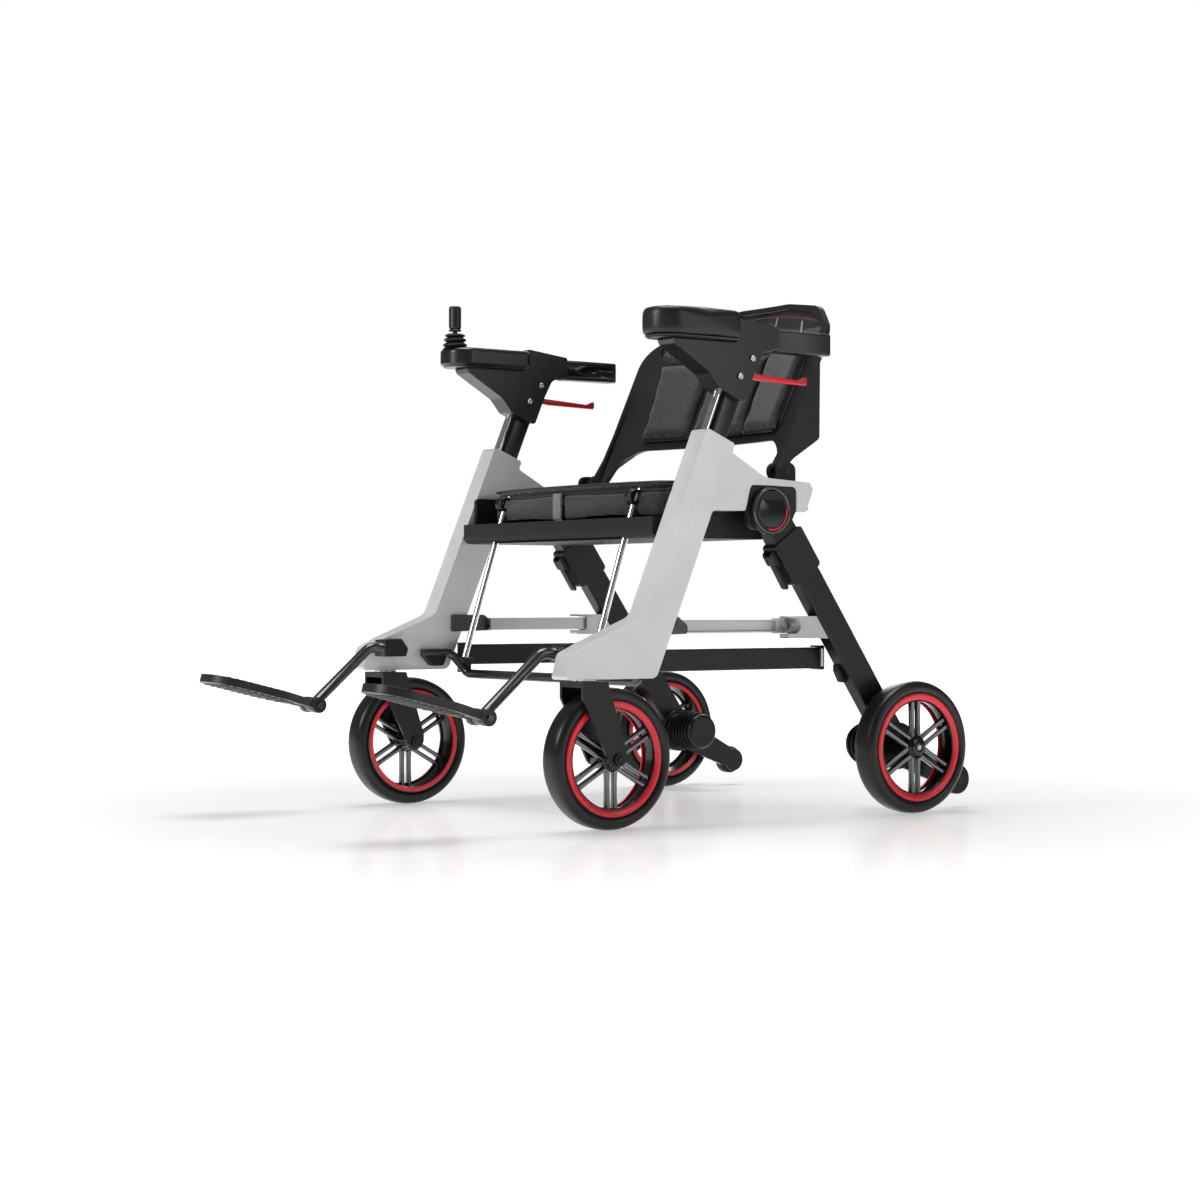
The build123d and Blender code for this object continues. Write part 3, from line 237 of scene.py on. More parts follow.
for side, sign in SIDES:
    centre = (0.0, HINGE_Y - 0.004, HINGE_Z - 0.002)
    rim_ring = turned([(CAP_FACE - 0.006, 0.0300), (CAP_FACE - 0.0008, 0.0300),
                       (CAP_FACE + 0.0016, 0.0312), (CAP_FACE + 0.0020, 0.0325),
                       (CAP_FACE + 0.0012, 0.0338), (CAP_FACE - 0.0014, 0.0345),
                       (CAP_FACE - 0.006, 0.0345), (CAP_FACE - 0.006, 0.0300)], centre, sign)
    to_piece(rim_ring, f"{side}_hinge_ring", ring_metal, "main_frame", 50)
    arc = turned([(CAP_FACE - 0.004, 0.0268), (CAP_FACE + 0.0008, 0.0270),
                  (CAP_FACE + 0.0008, 0.0294), (CAP_FACE - 0.004, 0.0296),
                  (CAP_FACE - 0.004, 0.0268)], centre, sign, 40, radians(108), radians(-192))
    to_piece(arc, f"{side}_hinge_red_arc", signal_red, "main_frame", 50)
    disc = turned([(CAP_FACE - 0.004, 0.0), (CAP_FACE - 0.004, 0.0255), (CAP_FACE + 0.0002, 0.0255),
                   (CAP_FACE + 0.0013, 0.0244), (CAP_FACE + 0.0016, 0.0225), (CAP_FACE + 0.0016, 0.0)],
                  centre, sign)
    bmesh.ops.bisect_plane(disc, geom=disc.verts[:] + disc.edges[:] + disc.faces[:],
                           plane_co=(0, 0, HINGE_Z + 0.013), plane_no=(0, 0, 1), clear_outer=True)
    bmesh.ops.holes_fill(disc, edges=[e for e in disc.edges if e.is_boundary], sides=0)
    bmesh.ops.recalc_face_normals(disc, faces=disc.faces)
    to_piece(disc, f"{side}_hinge_disc", gloss_black, "main_frame", 30)
rounded("hinge_covers", black_plastic, 0.0016, "main_frame")

# Front cross tube, its brackets, the rails and the chrome rods.
# Black-coated steel tube and rails; the rods that prop the seat are chromed. The brackets, end caps
# and catches are moulded.
black_metal = coating("black_metal", (0.005, 0.005, 0.0055), 0.30, gloss=0.35, mottle=0.12, speckle=2200,
                      relief=0.05)
dark_tube = coating("dark_tube", (0.085, 0.086, 0.09), 0.26, metallic=0.85, mottle=0.08, speckle=1400,
                    relief=0.02)
chrome = coating("chrome", (0.80, 0.80, 0.81), 0.10, metallic=1.0, mottle=0.03, speckle=800, relief=0.004)
steel = coating("steel", (0.45, 0.455, 0.46), 0.28, metallic=1.0, mottle=0.06, speckle=1400, relief=0.02)

rounded("front_cross_tube", dark_tube, 0.0004, "main_frame", angle=60, segments=1)
rounded("support_rods", chrome, 0.0008, "main_frame", angle=60, segments=2)
rounded("tube_brackets", black_plastic, 0.0012, "main_frame")
rounded("lower_rails", black_metal, 0.0006, "main_frame", angle=60, segments=2)
rounded("rail_end_caps", gloss_black, 0.0008, "main_frame", angle=50, segments=2)
rounded("brace_tabs", dark_tube, 0.0008, "main_frame", angle=45, segments=2)

# Seat-prop eyes: each chrome rod's bent top is held by a black eyelet on the seat's front.
_, rod_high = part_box("support_rods")
for side, sign in SIDES:
    eyelet = turned([(-0.008, 0.0068), (-0.008, 0.0105), (-0.0065, 0.0120), (0.0065, 0.0120),
                     (0.008, 0.0105), (0.008, 0.0068), (-0.008, 0.0068)],
                    (sign * 0.174, rod_high.y - 0.010, rod_high.z - 0.005), sign, 32)
    to_piece(eyelet, f"{side}_rod_eyelet", black_plastic, "main_frame", 45)

# White reflector strip on each rail's end cap, a moulded bar with rounded ends.
white_strip = coating("white_strip", (0.78, 0.78, 0.78), 0.3, mottle=0.03)
cap_low, cap_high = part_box("rail_end_caps")


def soft_box(low, high, radius, segments=3):
    """Block with every edge rounded."""
    mesh = bmesh.new()
    bmesh.ops.create_cube(mesh, size=1.0)
    low, high = Vector(low), Vector(high)
    bmesh.ops.scale(mesh, verts=mesh.verts, vec=high - low)
    bmesh.ops.translate(mesh, verts=mesh.verts, vec=(high + low) / 2)
    bmesh.ops.bevel(mesh, geom=mesh.edges[:], offset=radius, offset_type="OFFSET",
                    segments=segments, profile=0.5, affect="EDGES", material=-1)
    return mesh


for side, sign in SIDES:
    x = sorted((sign * (cap_high.x - 0.0006), sign * (cap_high.x + 0.0010)))
    strip = soft_box((x[0], cap_low.y + 0.0028, cap_low.z + 0.005),
                     (x[1], cap_high.y - 0.0028, cap_high.z - 0.005), 0.0007)
    to_piece(strip, f"{side}_rail_strip", white_strip, "main_frame")

# Braces and their brackets.
# Satin aluminium channels that run level from the rear legs to a pin behind the uprights.
brace_silver = coating("brace_silver", (0.50, 0.505, 0.515), 0.30, metallic=0.8, speckle=1300, relief=0.015)
for side, sign in SIDES:
    rounded(f"{side}_brace_bar", brace_silver, 0.0007, f"{side}_brace", segments=2)
rounded("brace_brackets", brace_silver, 0.0010, "rear_legs", segments=2)

# Rear legs.
# Black-coated oval tubes, an upper one to the hinge and a lower one to the wheel, joined by a
# clamping collar. A torsion tube across the chair makes them one folding leg.
rounded("upper_legs", black_metal, 0.0030, "rear_legs", angle=40)
rounded("lower_legs", black_metal, 0.0010, "rear_legs", angle=40, segments=2)
rounded("leg_collars", black_plastic, 0.0016, "rear_legs", angle=40)
rounded("leg_catches", black_plastic, 0.0008, "rear_legs", angle=40, segments=2)
rounded("leg_torsion_tube", steel, 0.0004, "rear_legs", angle=60, segments=1)
for side, sign in SIDES:
    rounded(f"{side}_collar_lever", black_plastic, 0.0008, f"{side}_collar_clamp", angle=40, segments=2)

# Drive motors and anti-tip arms.
# Each gear motor is a black casting beside the leg's foot with cooling fins round its can; the arm
# behind it ends in a small rubber roller just above the floor.
rounded("drive_motors", black_metal, 0.0022, "rear_legs", angle=40)
rounded("antitip_arms", black_metal, 0.0018, "rear_legs", angle=40)
rubber = coating("rubber", (0.006, 0.006, 0.0065), 0.50, gloss=0.3, mottle=0.15, speckle=1100, relief=0.10)
WHEEL_Y, WHEEL_Z = 0.3785, 0.100
for side, sign in SIDES:
    for index in range(5):
        x = 0.2060 + 0.0085 * index
        fin = turned([(x, 0.0280), (x, 0.0312), (x + 0.0006, 0.0318), (x + 0.0022, 0.0318),
                      (x + 0.0028, 0.0312), (x + 0.0028, 0.0280), (x, 0.0280)],
                     (0, WHEEL_Y, WHEEL_Z), sign, 64)
        to_piece(fin, f"{side}_motor_fin_{index + 1}", black_metal, "rear_legs", 40)
    rounded(f"{side}_antitip_roller", rubber, 0.0012, f"{side}_antitip_wheel", angle=50, segments=2)


# Wheels.
# Solid rubber tyres on alloy rims. Each rim has six pairs of parallel spokes,
# a gloss black hub cap, and a red ring round its outer face between two black lips.
tyre_rubber = coating("tyre_rubber", (0.0055, 0.0055, 0.006), 0.36, gloss=0.4, mottle=0.18, speckle=700,
                      relief=0.06)
ring_red = coating("ring_red", (0.72, 0.018, 0.035), 0.28, mottle=0.05, speckle=900, relief=0.02)
spoke_alloy = coating("spoke_alloy", (0.17, 0.172, 0.178), 0.24, metallic=0.95, mottle=0.08, speckle=900,
                      relief=0.02)
rim_alloy = coating("rim_alloy", (0.05, 0.05, 0.055), 0.22, metallic=0.9, mottle=0.08, speckle=900,
                    relief=0.01)


def spoke_bar(width, depth, inner, outer, slip, tilt):
    """One straight spoke from the hub to the rim, rounded along its edges and waisted."""
    mesh = bmesh.new()
    bmesh.ops.create_cube(mesh, size=1.0)
    bmesh.ops.subdivide_edges(mesh, edges=[e for e in mesh.edges if abs(
        (e.verts[0].co - e.verts[1].co).z) > 0.5], cuts=2)
    bmesh.ops.scale(mesh, verts=mesh.verts, vec=(depth, width, outer - inner))
    bmesh.ops.translate(mesh, verts=mesh.verts, vec=(0, slip, (outer + inner) / 2))
    middle = [v for v in mesh.verts if inner + 0.005 < v.co.z < outer - 0.005]
    bmesh.ops.scale(mesh, verts=middle, vec=(0.8, 0.9, 1), space=Matrix.Translation((0, -slip, 0)))
    long_edges = [e for e in mesh.edges if abs((e.verts[0].co - e.verts[1].co).normalized().z) > 0.8]
    bmesh.ops.bevel(mesh, geom=long_edges, offset=min(width, depth) * 0.28, offset_type="OFFSET",
                    segments=3, profile=0.5, affect="EDGES", material=-1)
    bmesh.ops.rotate(mesh, verts=mesh.verts, cent=(0, 0, 0), matrix=Matrix.Rotation(tilt, 3, "X"))
    return mesh


def wheel(side, sign, place, middle_x, y, body, hub_in, hub_out):
    """Tyre, rim, spokes, red ring and hub cap of one wheel, standing in for its two nodes."""
    centre = (0, y, WHEEL_Z)
    half = 0.0205
    x = middle_x
    tread = turned([(x - 0.016, 0.0822), (x - 0.0185, 0.0840), (x - half, 0.0885), (x - 0.0198, 0.0935),
                    (x - 0.0172, 0.0972), (x - 0.0125, 0.0993), (x - 0.0060, 0.0999), (x, 0.1000),
                    (x + 0.0060, 0.0999), (x + 0.0125, 0.0993), (x + 0.0172, 0.0972),
                    (x + 0.0198, 0.0935), (x + half, 0.0885), (x + 0.0185, 0.0840),
                    (x + 0.016, 0.0822), (x - 0.016, 0.0822)], centre, sign, 128)
    tyre = to_piece(tread, f"{side}_{place}_tyre_finished", tyre_rubber, body, 60)
    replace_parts(tyre, f"{side}_{place}_tyre")
    barrel = turned([(x - 0.0185, 0.0822), (x - 0.0195, 0.0805), (x - 0.0190, 0.0775), (x - 0.0150, 0.0762),
                     (x - 0.0040, 0.0722), (x + 0.0030, 0.0712), (x + 0.0120, 0.0722), (x + 0.0160, 0.0716),
                     (x + 0.0172, 0.0722), (x + 0.0172, 0.0822), (x - 0.0185, 0.0822)], centre, sign, 128)
    to_piece(barrel, f"{side}_{place}_rim_barrel", rim_alloy, body, 40)
    red = turned([(x + 0.0120, 0.0712), (x + 0.0158, 0.0712), (x + 0.0172, 0.0720), (x + 0.0188, 0.0760),
                  (x + 0.0192, 0.0795), (x + 0.0188, 0.0808), (x + 0.0176, 0.0816), (x + 0.0150, 0.0816),
                  (x + 0.0120, 0.0712)], centre, sign, 128)
    to_piece(red, f"{side}_{place}_red_ring", ring_red, body, 50)
    lip = turned([(x + 0.0110, 0.0692), (x + 0.0152, 0.0692), (x + 0.0164, 0.0700), (x + 0.0162, 0.0711),
                  (x + 0.0120, 0.0715), (x + 0.0110, 0.0692)], centre, sign, 128)
    to_piece(lip, f"{side}_{place}_inner_lip", gloss_black, body, 50)
    back_ring = turned([(x - 0.0186, 0.0732), (x - 0.0200, 0.0740), (x - 0.0202, 0.0770),
                        (x - 0.0196, 0.0800),
                        (x - 0.0184, 0.0810), (x - 0.0170, 0.0800), (x - 0.0170, 0.0740),
                        (x - 0.0186, 0.0732)], centre, sign, 128)
    to_piece(back_ring, f"{side}_{place}_inboard_ring", ring_red, body, 50)
    spokes = bmesh.new()
    for index in range(6):
        turn = index * pi / 3
        for width, slip, depth in ((0.0068, 0.0062, 0.0105), (0.0068, -0.0062, 0.0105)):
            bar_mesh = spoke_bar(width, depth, 0.0120, 0.0722, slip, turn)
            bmesh.ops.translate(bar_mesh, verts=bar_mesh.verts, vec=(x + 0.0075, 0, 0))
            scrap = bpy.data.meshes.new("scrap")
            bar_mesh.to_mesh(scrap)
            bar_mesh.free()
            spokes.from_mesh(scrap)
            bpy.data.meshes.remove(scrap)
    bmesh.ops.scale(spokes, verts=spokes.verts, vec=(sign, 1, 1))
    bmesh.ops.translate(spokes, verts=spokes.verts, vec=centre)
    bmesh.ops.recalc_face_normals(spokes, faces=spokes.faces)
    spoke_set = to_piece(spokes, f"{side}_{place}_spokes", spoke_alloy, body, 40)
    hub = turned([(hub_in, 0.0062), (hub_in, 0.0140), (hub_in + 0.001, 0.0150), (x - 0.002, 0.0152),
                  (x + 0.003, 0.0185), (x + 0.0105, 0.0185), (x + 0.0135, 0.0170), (x + 0.0150, 0.0140),
                  (hub_out, 0.0130), (hub_out, 0.0062), (hub_in, 0.0062)], centre, sign, 64)
    to_piece(hub, f"{side}_{place}_hub", gloss_black, body, 40)
    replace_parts(spoke_set, f"{side}_{place}_rim")


for side, sign in SIDES:
    wheel(side, sign, "rear", 0.317, WHEEL_Y, f"{side}_rear_wheel", 0.2912, 0.3340)
    wheel(side, sign, "front", 0.2735, -0.156, f"{side}_front_wheel", 0.2505, 0.2962)
    cap = turned([(0.3325, 0.0), (0.3325, 0.0128), (0.3345, 0.0126), (0.3352, 0.0110), (0.3354, 0.0070),
                  (0.3340, 0.0062), (0.3340, 0.0)], (0, WHEEL_Y, WHEEL_Z), sign, 48)
    to_piece(cap, f"{side}_rear_hub_cap", gloss_black, f"{side}_rear_wheel", 40)
    bolt = turned([(0.3335, 0.0), (0.3335, 0.0046), (0.3360, 0.0046), (0.3366, 0.0038), (0.3366, 0.0)],
                  (0, WHEEL_Y, WHEEL_Z), sign, 6)
    to_piece(bolt, f"{side}_rear_hub_bolt", steel, f"{side}_rear_wheel", 30)
    stub = turned([(0.2670, 0.0), (0.2670, 0.0079), (0.3000, 0.0079), (0.3000, 0.0)],
                  (0, WHEEL_Y, WHEEL_Z), sign, 48)
    to_piece(stub, f"{side}_drive_stub", steel, f"{side}_rear_wheel", 40)

# Casters.
# Black cast forks that trail below the feet, on chromed bearing rings, with a black bolt each.
for side, sign in SIDES:
    rounded(f"{side}_caster_fork", black_metal, 0.0018, f"{side}_caster", angle=40)
    rounded(f"{side}_caster_axle", black_metal, 0.0012, f"{side}_caster", angle=50, segments=2)
rounded("caster_bearings", chrome, 0.0006, "main_frame", angle=50, segments=2)
for side, sign in SIDES:
    for flank in (-1, 1):
        face = sign * 0.2735 + flank * 0.0330
        nut = turned([(0.0, 0.0), (0.0, 0.0058), (0.0022, 0.0058), (0.0030, 0.0048), (0.0030, 0.0)],
                     (0, 0, 0), flank, 6)
        bmesh.ops.translate(nut, verts=nut.verts, vec=(face - flank * 0.0008, -0.156, WHEEL_Z))
        to_piece(nut, f"{side}_axle_nut_{'in' if flank * sign < 0 else 'out'}", black_metal,
                 f"{side}_caster", 30)


# Seat.
# A padded top panel with a piped edge sits on a black pan. Its dark woven cover also wraps the
# front in two padded fascia panels, held together by a grey strap with a metal buckle.
pan_black = coating("pan_black", (0.008, 0.008, 0.009), 0.55, mottle=0.12, speckle=1300, relief=0.10,
                    gloss=0.25)
pan = joined_faces("seat_frame")
under = [e for e in pan.edges if e.is_manifold and e.calc_face_angle(0) > radians(50)
         and all(v.co.y < -0.030 and v.co.z < 0.4125 for v in e.verts)
         and abs(e.verts[0].co.x - e.verts[1].co.x) > 0.05]
bmesh.ops.bevel(pan, geom=under, offset=0.0110, offset_type="OFFSET", segments=6, profile=0.5,
                affect="EDGES", material=-1, clamp_overlap=True)
bmesh.ops.recalc_face_normals(pan, faces=pan.faces)
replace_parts(to_piece(pan, "seat_frame_finished", pan_black, "main_frame"), "seat_frame")
rounded("battery_pack", pan_black, 0.0020, "main_frame", angle=50, segments=2)
rounded("motor_controller", pan_black, 0.0020, "main_frame", angle=50, segments=2)


def woven(name, dark, light, pitch, relief, roughness, turn=0.0):
    """Cloth of warp and weft threads that cross, with slubs and a soft sheen."""
    cloth = bpy.data.materials.new(name)
    cloth.use_nodes = True
    make, join = cloth.node_tree.nodes.new, cloth.node_tree.links.new
    shader = cloth.node_tree.nodes["Principled BSDF"]
    shader.inputs["Roughness"].default_value = roughness
    shader.inputs["Sheen Weight"].default_value = 0.25
    shader.inputs["Sheen Roughness"].default_value = 0.45
    shader.inputs["Specular IOR Level"].default_value = 0.25
    place = make("ShaderNodeTexCoord")
    turned_to = make("ShaderNodeMapping")
    turned_to.inputs["Rotation"].default_value = (turn, 0.0, radians(45))
    join(place.outputs["Object"], turned_to.inputs["Vector"])
    threads = []
    for axis in ("X", "Y", "Z"):
        wave = make("ShaderNodeTexWave")
        wave.wave_type = "BANDS"
        wave.bands_direction = axis
        wave.inputs["Scale"].default_value = 2 * pi / (20.0 * pitch)
        wave.inputs["Distortion"].default_value = 1.2
        wave.inputs["Detail"].default_value = 1.0
        wave.inputs["Detail Scale"].default_value = 3.0
        join(turned_to.outputs["Vector"], wave.inputs["Vector"])
        threads.append(wave)
    crossed = make("ShaderNodeMath")
    crossed.operation = "MULTIPLY"
    join(threads[0].outputs["Fac"], crossed.inputs[0])
    join(threads[1].outputs["Fac"], crossed.inputs[1])
    height = make("ShaderNodeMath")
    height.operation = "MULTIPLY_ADD"
    height.inputs[2].default_value = 0.0
    join(threads[2].outputs["Fac"], height.inputs[0])
    join(crossed.outputs["Value"], height.inputs[1])
    slubs = make("ShaderNodeTexNoise")
    slubs.inputs["Scale"].default_value = 160.0
    slubs.inputs["Detail"].default_value = 4.0
    join(place.outputs["Object"], slubs.inputs["Vector"])
    mixed = make("ShaderNodeMath")
    mixed.operation = "MULTIPLY_ADD"
    mixed.inputs[1].default_value = 0.55
    join(crossed.outputs["Value"], mixed.inputs[0])
    join(slubs.outputs["Fac"], mixed.inputs[2])
    tint = make("ShaderNodeValToRGB")
    tint.color_ramp.elements[0].position = 0.35
    tint.color_ramp.elements[1].position = 0.95
    tint.color_ramp.elements[0].color = (*dark, 1)
    tint.color_ramp.elements[1].color = (*light, 1)
    join(mixed.outputs["Value"], tint.inputs["Fac"])
    join(tint.outputs["Color"], shader.inputs["Base Color"])
    bump = make("ShaderNodeBump")
    bump.inputs["Strength"].default_value = relief
    bump.inputs["Distance"].default_value = 0.001
    join(mixed.outputs["Value"], bump.inputs["Height"])
    join(bump.outputs["Normal"], shader.inputs["Normal"])
    return cloth


seat_cloth = woven("seat_cloth", (0.005, 0.005, 0.0055), (0.020, 0.020, 0.021), 0.0022, 0.6, 0.82)
fascia_cloth = woven("fascia_cloth", (0.020, 0.020, 0.0205), (0.052, 0.052, 0.054), 0.0018, 0.6, 0.8,
                     radians(90))
strap_grey = woven("strap_grey", (0.10, 0.10, 0.105), (0.20, 0.20, 0.205), 0.0016, 0.5, 0.7, radians(90))
piping_vinyl = coating("piping_vinyl", (0.005, 0.005, 0.0055), 0.34, gloss=0.4, mottle=0.15, speckle=900,
                       relief=0.08)
seat_low, seat_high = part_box("seat_cushion")


def puffed(mesh, name, finish, body, cap, pressure=4.0, voxel=0.006):
    """Swells a closed shape as foam in a stitched cover does, and keeps it within a limit."""
    data = bpy.data.meshes.new(name)
    mesh.to_mesh(data)
    mesh.free()
    pad = bpy.data.objects.new(name, data)
    bpy.context.collection.objects.link(pad)
    for other in bpy.context.selected_objects:
        other.select_set(False)
    bpy.context.view_layer.objects.active = pad
    pad.select_set(True)
    remesh = pad.modifiers.new("even_skin", "REMESH")
    remesh.mode = "VOXEL"
    remesh.voxel_size = voxel
    bpy.ops.object.modifier_apply(modifier=remesh.name)
    before = [v.co.copy() for v in pad.data.vertices]
    cloth = pad.modifiers.new("foam", "CLOTH")
    cloth.settings.use_pressure = True
    cloth.settings.uniform_pressure_force = pressure
    cloth.settings.effector_weights.gravity = 0.0
    cloth.settings.tension_stiffness = 25
    cloth.settings.compression_stiffness = 25
    cloth.settings.shear_stiffness = 8
    cloth.settings.bending_stiffness = 1.5
    cloth.point_cache.frame_start = 1
    cloth.point_cache.frame_end = 20
    for moment in range(1, 21):
        bpy.context.scene.frame_set(moment)
    bpy.ops.object.modifier_apply(modifier=cloth.name)
    bpy.context.scene.frame_set(1)
    for vertex, start in zip(pad.data.vertices, before):
        step = vertex.co - start
        if step.length > cap:
            vertex.co = start + step * (cap / step.length)
    smooth = pad.modifiers.new("settled", "SMOOTH")
    smooth.factor = 0.5
    smooth.iterations = 7
    bpy.ops.object.modifier_apply(modifier=smooth.name)
    fine = pad.modifiers.new("fine_skin", "SUBSURF")
    fine.levels = 1
    fine.render_levels = 1
    pad.data.materials.append(finish)
    pad.data.shade_smooth()
    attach(pad, body)
    return pad


def cord_round(points, thickness, name, finish, body, closed=True):
    """Piping sewn along an edge, as a round bead that follows the points."""
    curve = bpy.data.curves.new(name, "CURVE")
    curve.dimensions = "3D"
    curve.bevel_depth = thickness
    curve.bevel_resolution = 3
    curve.resolution_u = 6
    spline = curve.splines.new("NURBS")
    spline.points.add(len(points) - 1)
    for point, place in zip(spline.points, points):
        point.co = (*place, 1.0)
    spline.use_cyclic_u = closed
    spline.order_u = 3
    spline.use_endpoint_u = not closed
    bead = bpy.data.objects.new(name, curve)
    bpy.context.collection.objects.link(bead)
    curve.materials.append(finish)
    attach(bead, body)
    return bead


SEAT_HALF = 0.2335
SEAT_BACK = seat_high.y - 0.003


def front_edge(x):
    """The seat's front edge bows forward in the middle."""
    return -0.0525 + 0.030 * (abs(x) / 0.2335) ** 2.4


def seat_outline(inset, count=14):
    """Points round the seat's plan, from the middle of the front, each pulled in by an inset."""
    half, back = SEAT_HALF - inset, SEAT_BACK - inset
    turn_from = half - 0.026
    front = [(turn_from * i / count, front_edge(turn_from * i / count) + inset) for i in range(count + 1)]
    centre = (turn_from, front[-1][1] + 0.026)
    bend = [(centre[0] + 0.026 * sin(radians(a)), centre[1] - 0.026 * cos(radians(a)))
            for a in (22, 45, 68, 90)]
    side = [(half, 0.05), (half, 0.10), (half, 0.148), (half - 0.004, 0.158), (half - 0.022, 0.164),
            (half - 0.0265, 0.172)]
    rear = [(half - 0.0265, 0.22), (half - 0.0275, back - 0.02), (half - 0.045, back), (0.10, back),
            (0.0, back)]
    right = front + bend + side + rear
    return right + [(-x, y) for x, y in reversed(right[1:-1])]


def slab(points, low, high):
    """Flat-topped slab over a plan."""
    mesh = bmesh.new()
    base = mesh.faces.new([mesh.verts.new((x, y, low)) for x, y in points])
    lifted = bmesh.ops.extrude_face_region(mesh, geom=[base])
    bmesh.ops.translate(mesh, verts=[v for v in lifted["geom"] if isinstance(v, bmesh.types.BMVert)],
                        vec=(0, 0, high - low))
    bmesh.ops.recalc_face_normals(mesh, faces=mesh.faces)
    return mesh


FASCIA_TOP, FASCIA_LOW = seat_high.z - 0.0150, seat_low.z + 0.0030
seat_pad = puffed(slab(seat_outline(0.0035), seat_high.z - 0.0145, seat_high.z - 0.0045), "seat_pad",
                  seat_cloth, "main_frame", 0.0045, 3.0, 0.0045)
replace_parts(seat_pad, "seat_cushion")
core = slab(seat_outline(0.0085), seat_high.z - 0.0310, seat_high.z - 0.0120)
to_piece(core, "seat_core", fascia_cloth, "main_frame", 40)
cord_round([(x, y, seat_high.z - 0.0040) for x, y in seat_outline(0.0035)], 0.0017, "seat_piping",
           piping_vinyl, "main_frame")
cord_round([(x, y, seat_high.z - 0.0150) for x, y in seat_outline(0.0030)], 0.0016,
           "seat_lower_piping", piping_vinyl, "main_frame")

for side, sign in SIDES:
    line = [(0.0085 + 0.0194 * i, front_edge(0.0085 + 0.0194 * i) + 0.0040) for i in range(11)]
    corner = (line[-1][0], line[-1][1] + 0.0240)
    line += [(corner[0] + 0.0240 * sin(radians(a)), corner[1] - 0.0240 * cos(radians(a)))
             for a in (30, 60, 90)]
    line += [(corner[0] + 0.0240, 0.004)]
    inner = [(x - 0.014, y) if y > corner[1] - 0.002 else (x * 0.96, y + 0.013) for x, y in reversed(line)]
    panel = slab(line + inner, FASCIA_LOW, FASCIA_TOP - 0.001)
    bmesh.ops.scale(panel, verts=panel.verts, vec=(sign, 1, 1))
    bmesh.ops.recalc_face_normals(panel, faces=panel.faces)
    puffed(panel, f"{side}_fascia_pad", fascia_cloth, "main_frame", 0.0035, 5.0, 0.0036)

strap = soft_box((-0.0105, -0.0560, FASCIA_LOW - 0.001), (0.0105, -0.0515, FASCIA_TOP + 0.001), 0.0010)
to_piece(strap, "fascia_strap", strap_grey, "main_frame")
buckle = soft_box((-0.0095, -0.0540, FASCIA_LOW - 0.0165), (0.0095, -0.0515, FASCIA_LOW - 0.0005), 0.0009)
to_piece(buckle, "fascia_buckle", steel, "main_frame")

# The chrome rods' tops: each bends back in a small hook into its eyelet.
ROD_LEAN = radians(17.6)
for side, sign in SIDES:
    hook = bmesh.new()
    bmesh.ops.create_circle(hook, cap_ends=False, segments=24, radius=0.005)
    bmesh.ops.rotate(hook, verts=hook.verts, cent=(0, 0, 0), matrix=Matrix.Rotation(-ROD_LEAN, 3, "X"))
    bmesh.ops.translate(hook, verts=hook.verts, vec=(sign * 0.174, -0.0335, 0.4755))
    pivot = Vector((sign * 0.174, -0.0335 + 0.0105 * cos(ROD_LEAN), 0.4755 - 0.0105 * sin(ROD_LEAN)))
    bmesh.ops.spin(hook, geom=hook.verts[:] + hook.edges[:], cent=pivot, axis=(1, 0, 0),
                   angle=radians(-105), steps=14, use_merge=False)
    bmesh.ops.remove_doubles(hook, verts=hook.verts, dist=0.00001)
    bmesh.ops.holes_fill(hook, edges=[e for e in hook.edges if e.is_boundary], sides=0)
    bmesh.ops.recalc_face_normals(hook, faces=hook.faces)
    to_piece(hook, f"{side}_rod_hook", chrome, "main_frame", 50)


# Backrest.
# A black moulded shell frames a see-through mesh. Three padded woven panels with piped seams are
# sewn on the front of the mesh's lower part.
rounded("backrest_frame", black_plastic, 0.0022, "backrest", angle=40, segments=2)
back_cloth = woven("back_cloth", (0.018, 0.018, 0.0185), (0.050, 0.050, 0.0515), 0.0022, 0.7, 0.85,
                   radians(70))
thread_black = coating("thread_black", (0.010, 0.010, 0.011), 0.60, mottle=0.2, speckle=1800, relief=0.1)
liner_red = coating("liner_red", (0.080, 0.018, 0.022), 0.6, mottle=0.3, speckle=1600, relief=0.1)
rib_grey = coating("rib_grey", (0.20, 0.20, 0.21), 0.45, mottle=0.1, speckle=1200, relief=0.04)
BACK_Y, BACK_Z, BACK_SLOPE = 0.182, 0.515, 0.4557


def back_skin(x, height, setback=0.0):
    """Point on the bowed backrest, a height above its pivot and a distance behind its front."""
    sag = 0.045 * (1 - (x / 0.236) ** 2)
    return Vector((x, BACK_Y + sag + height * BACK_SLOPE + setback, BACK_Z + height))


def bowed_quilt(left, right, low, high, front, rear, columns, rows):
    """Closed slab that follows the backrest's bow, its corners drawn in a little."""
    mesh = bmesh.new()
    layers = []
    for setback in (front, rear):
        grid = []
        for i in range(columns + 1):
            u = i / columns
            column = []
            for j in range(rows + 1):
                v = j / rows
                column.append(mesh.verts.new(back_skin(left(v) + (right(v) - left(v)) * u,
                                                       low(u) + (high(u) - low(u)) * v, setback)))
            grid.append(column)
        layers.append(grid)
    for grid, flip in ((layers[0], False), (layers[1], True)):
        for i in range(columns):
            for j in range(rows):
                corners = [grid[i][j], grid[i + 1][j], grid[i + 1][j + 1], grid[i][j + 1]]
                mesh.faces.new(reversed(corners) if flip else corners)
    rim_edges = [e for e in mesh.edges if e.is_boundary]
    bmesh.ops.bridge_loops(mesh, edges=rim_edges)
    bmesh.ops.recalc_face_normals(mesh, faces=mesh.faces)
    return mesh


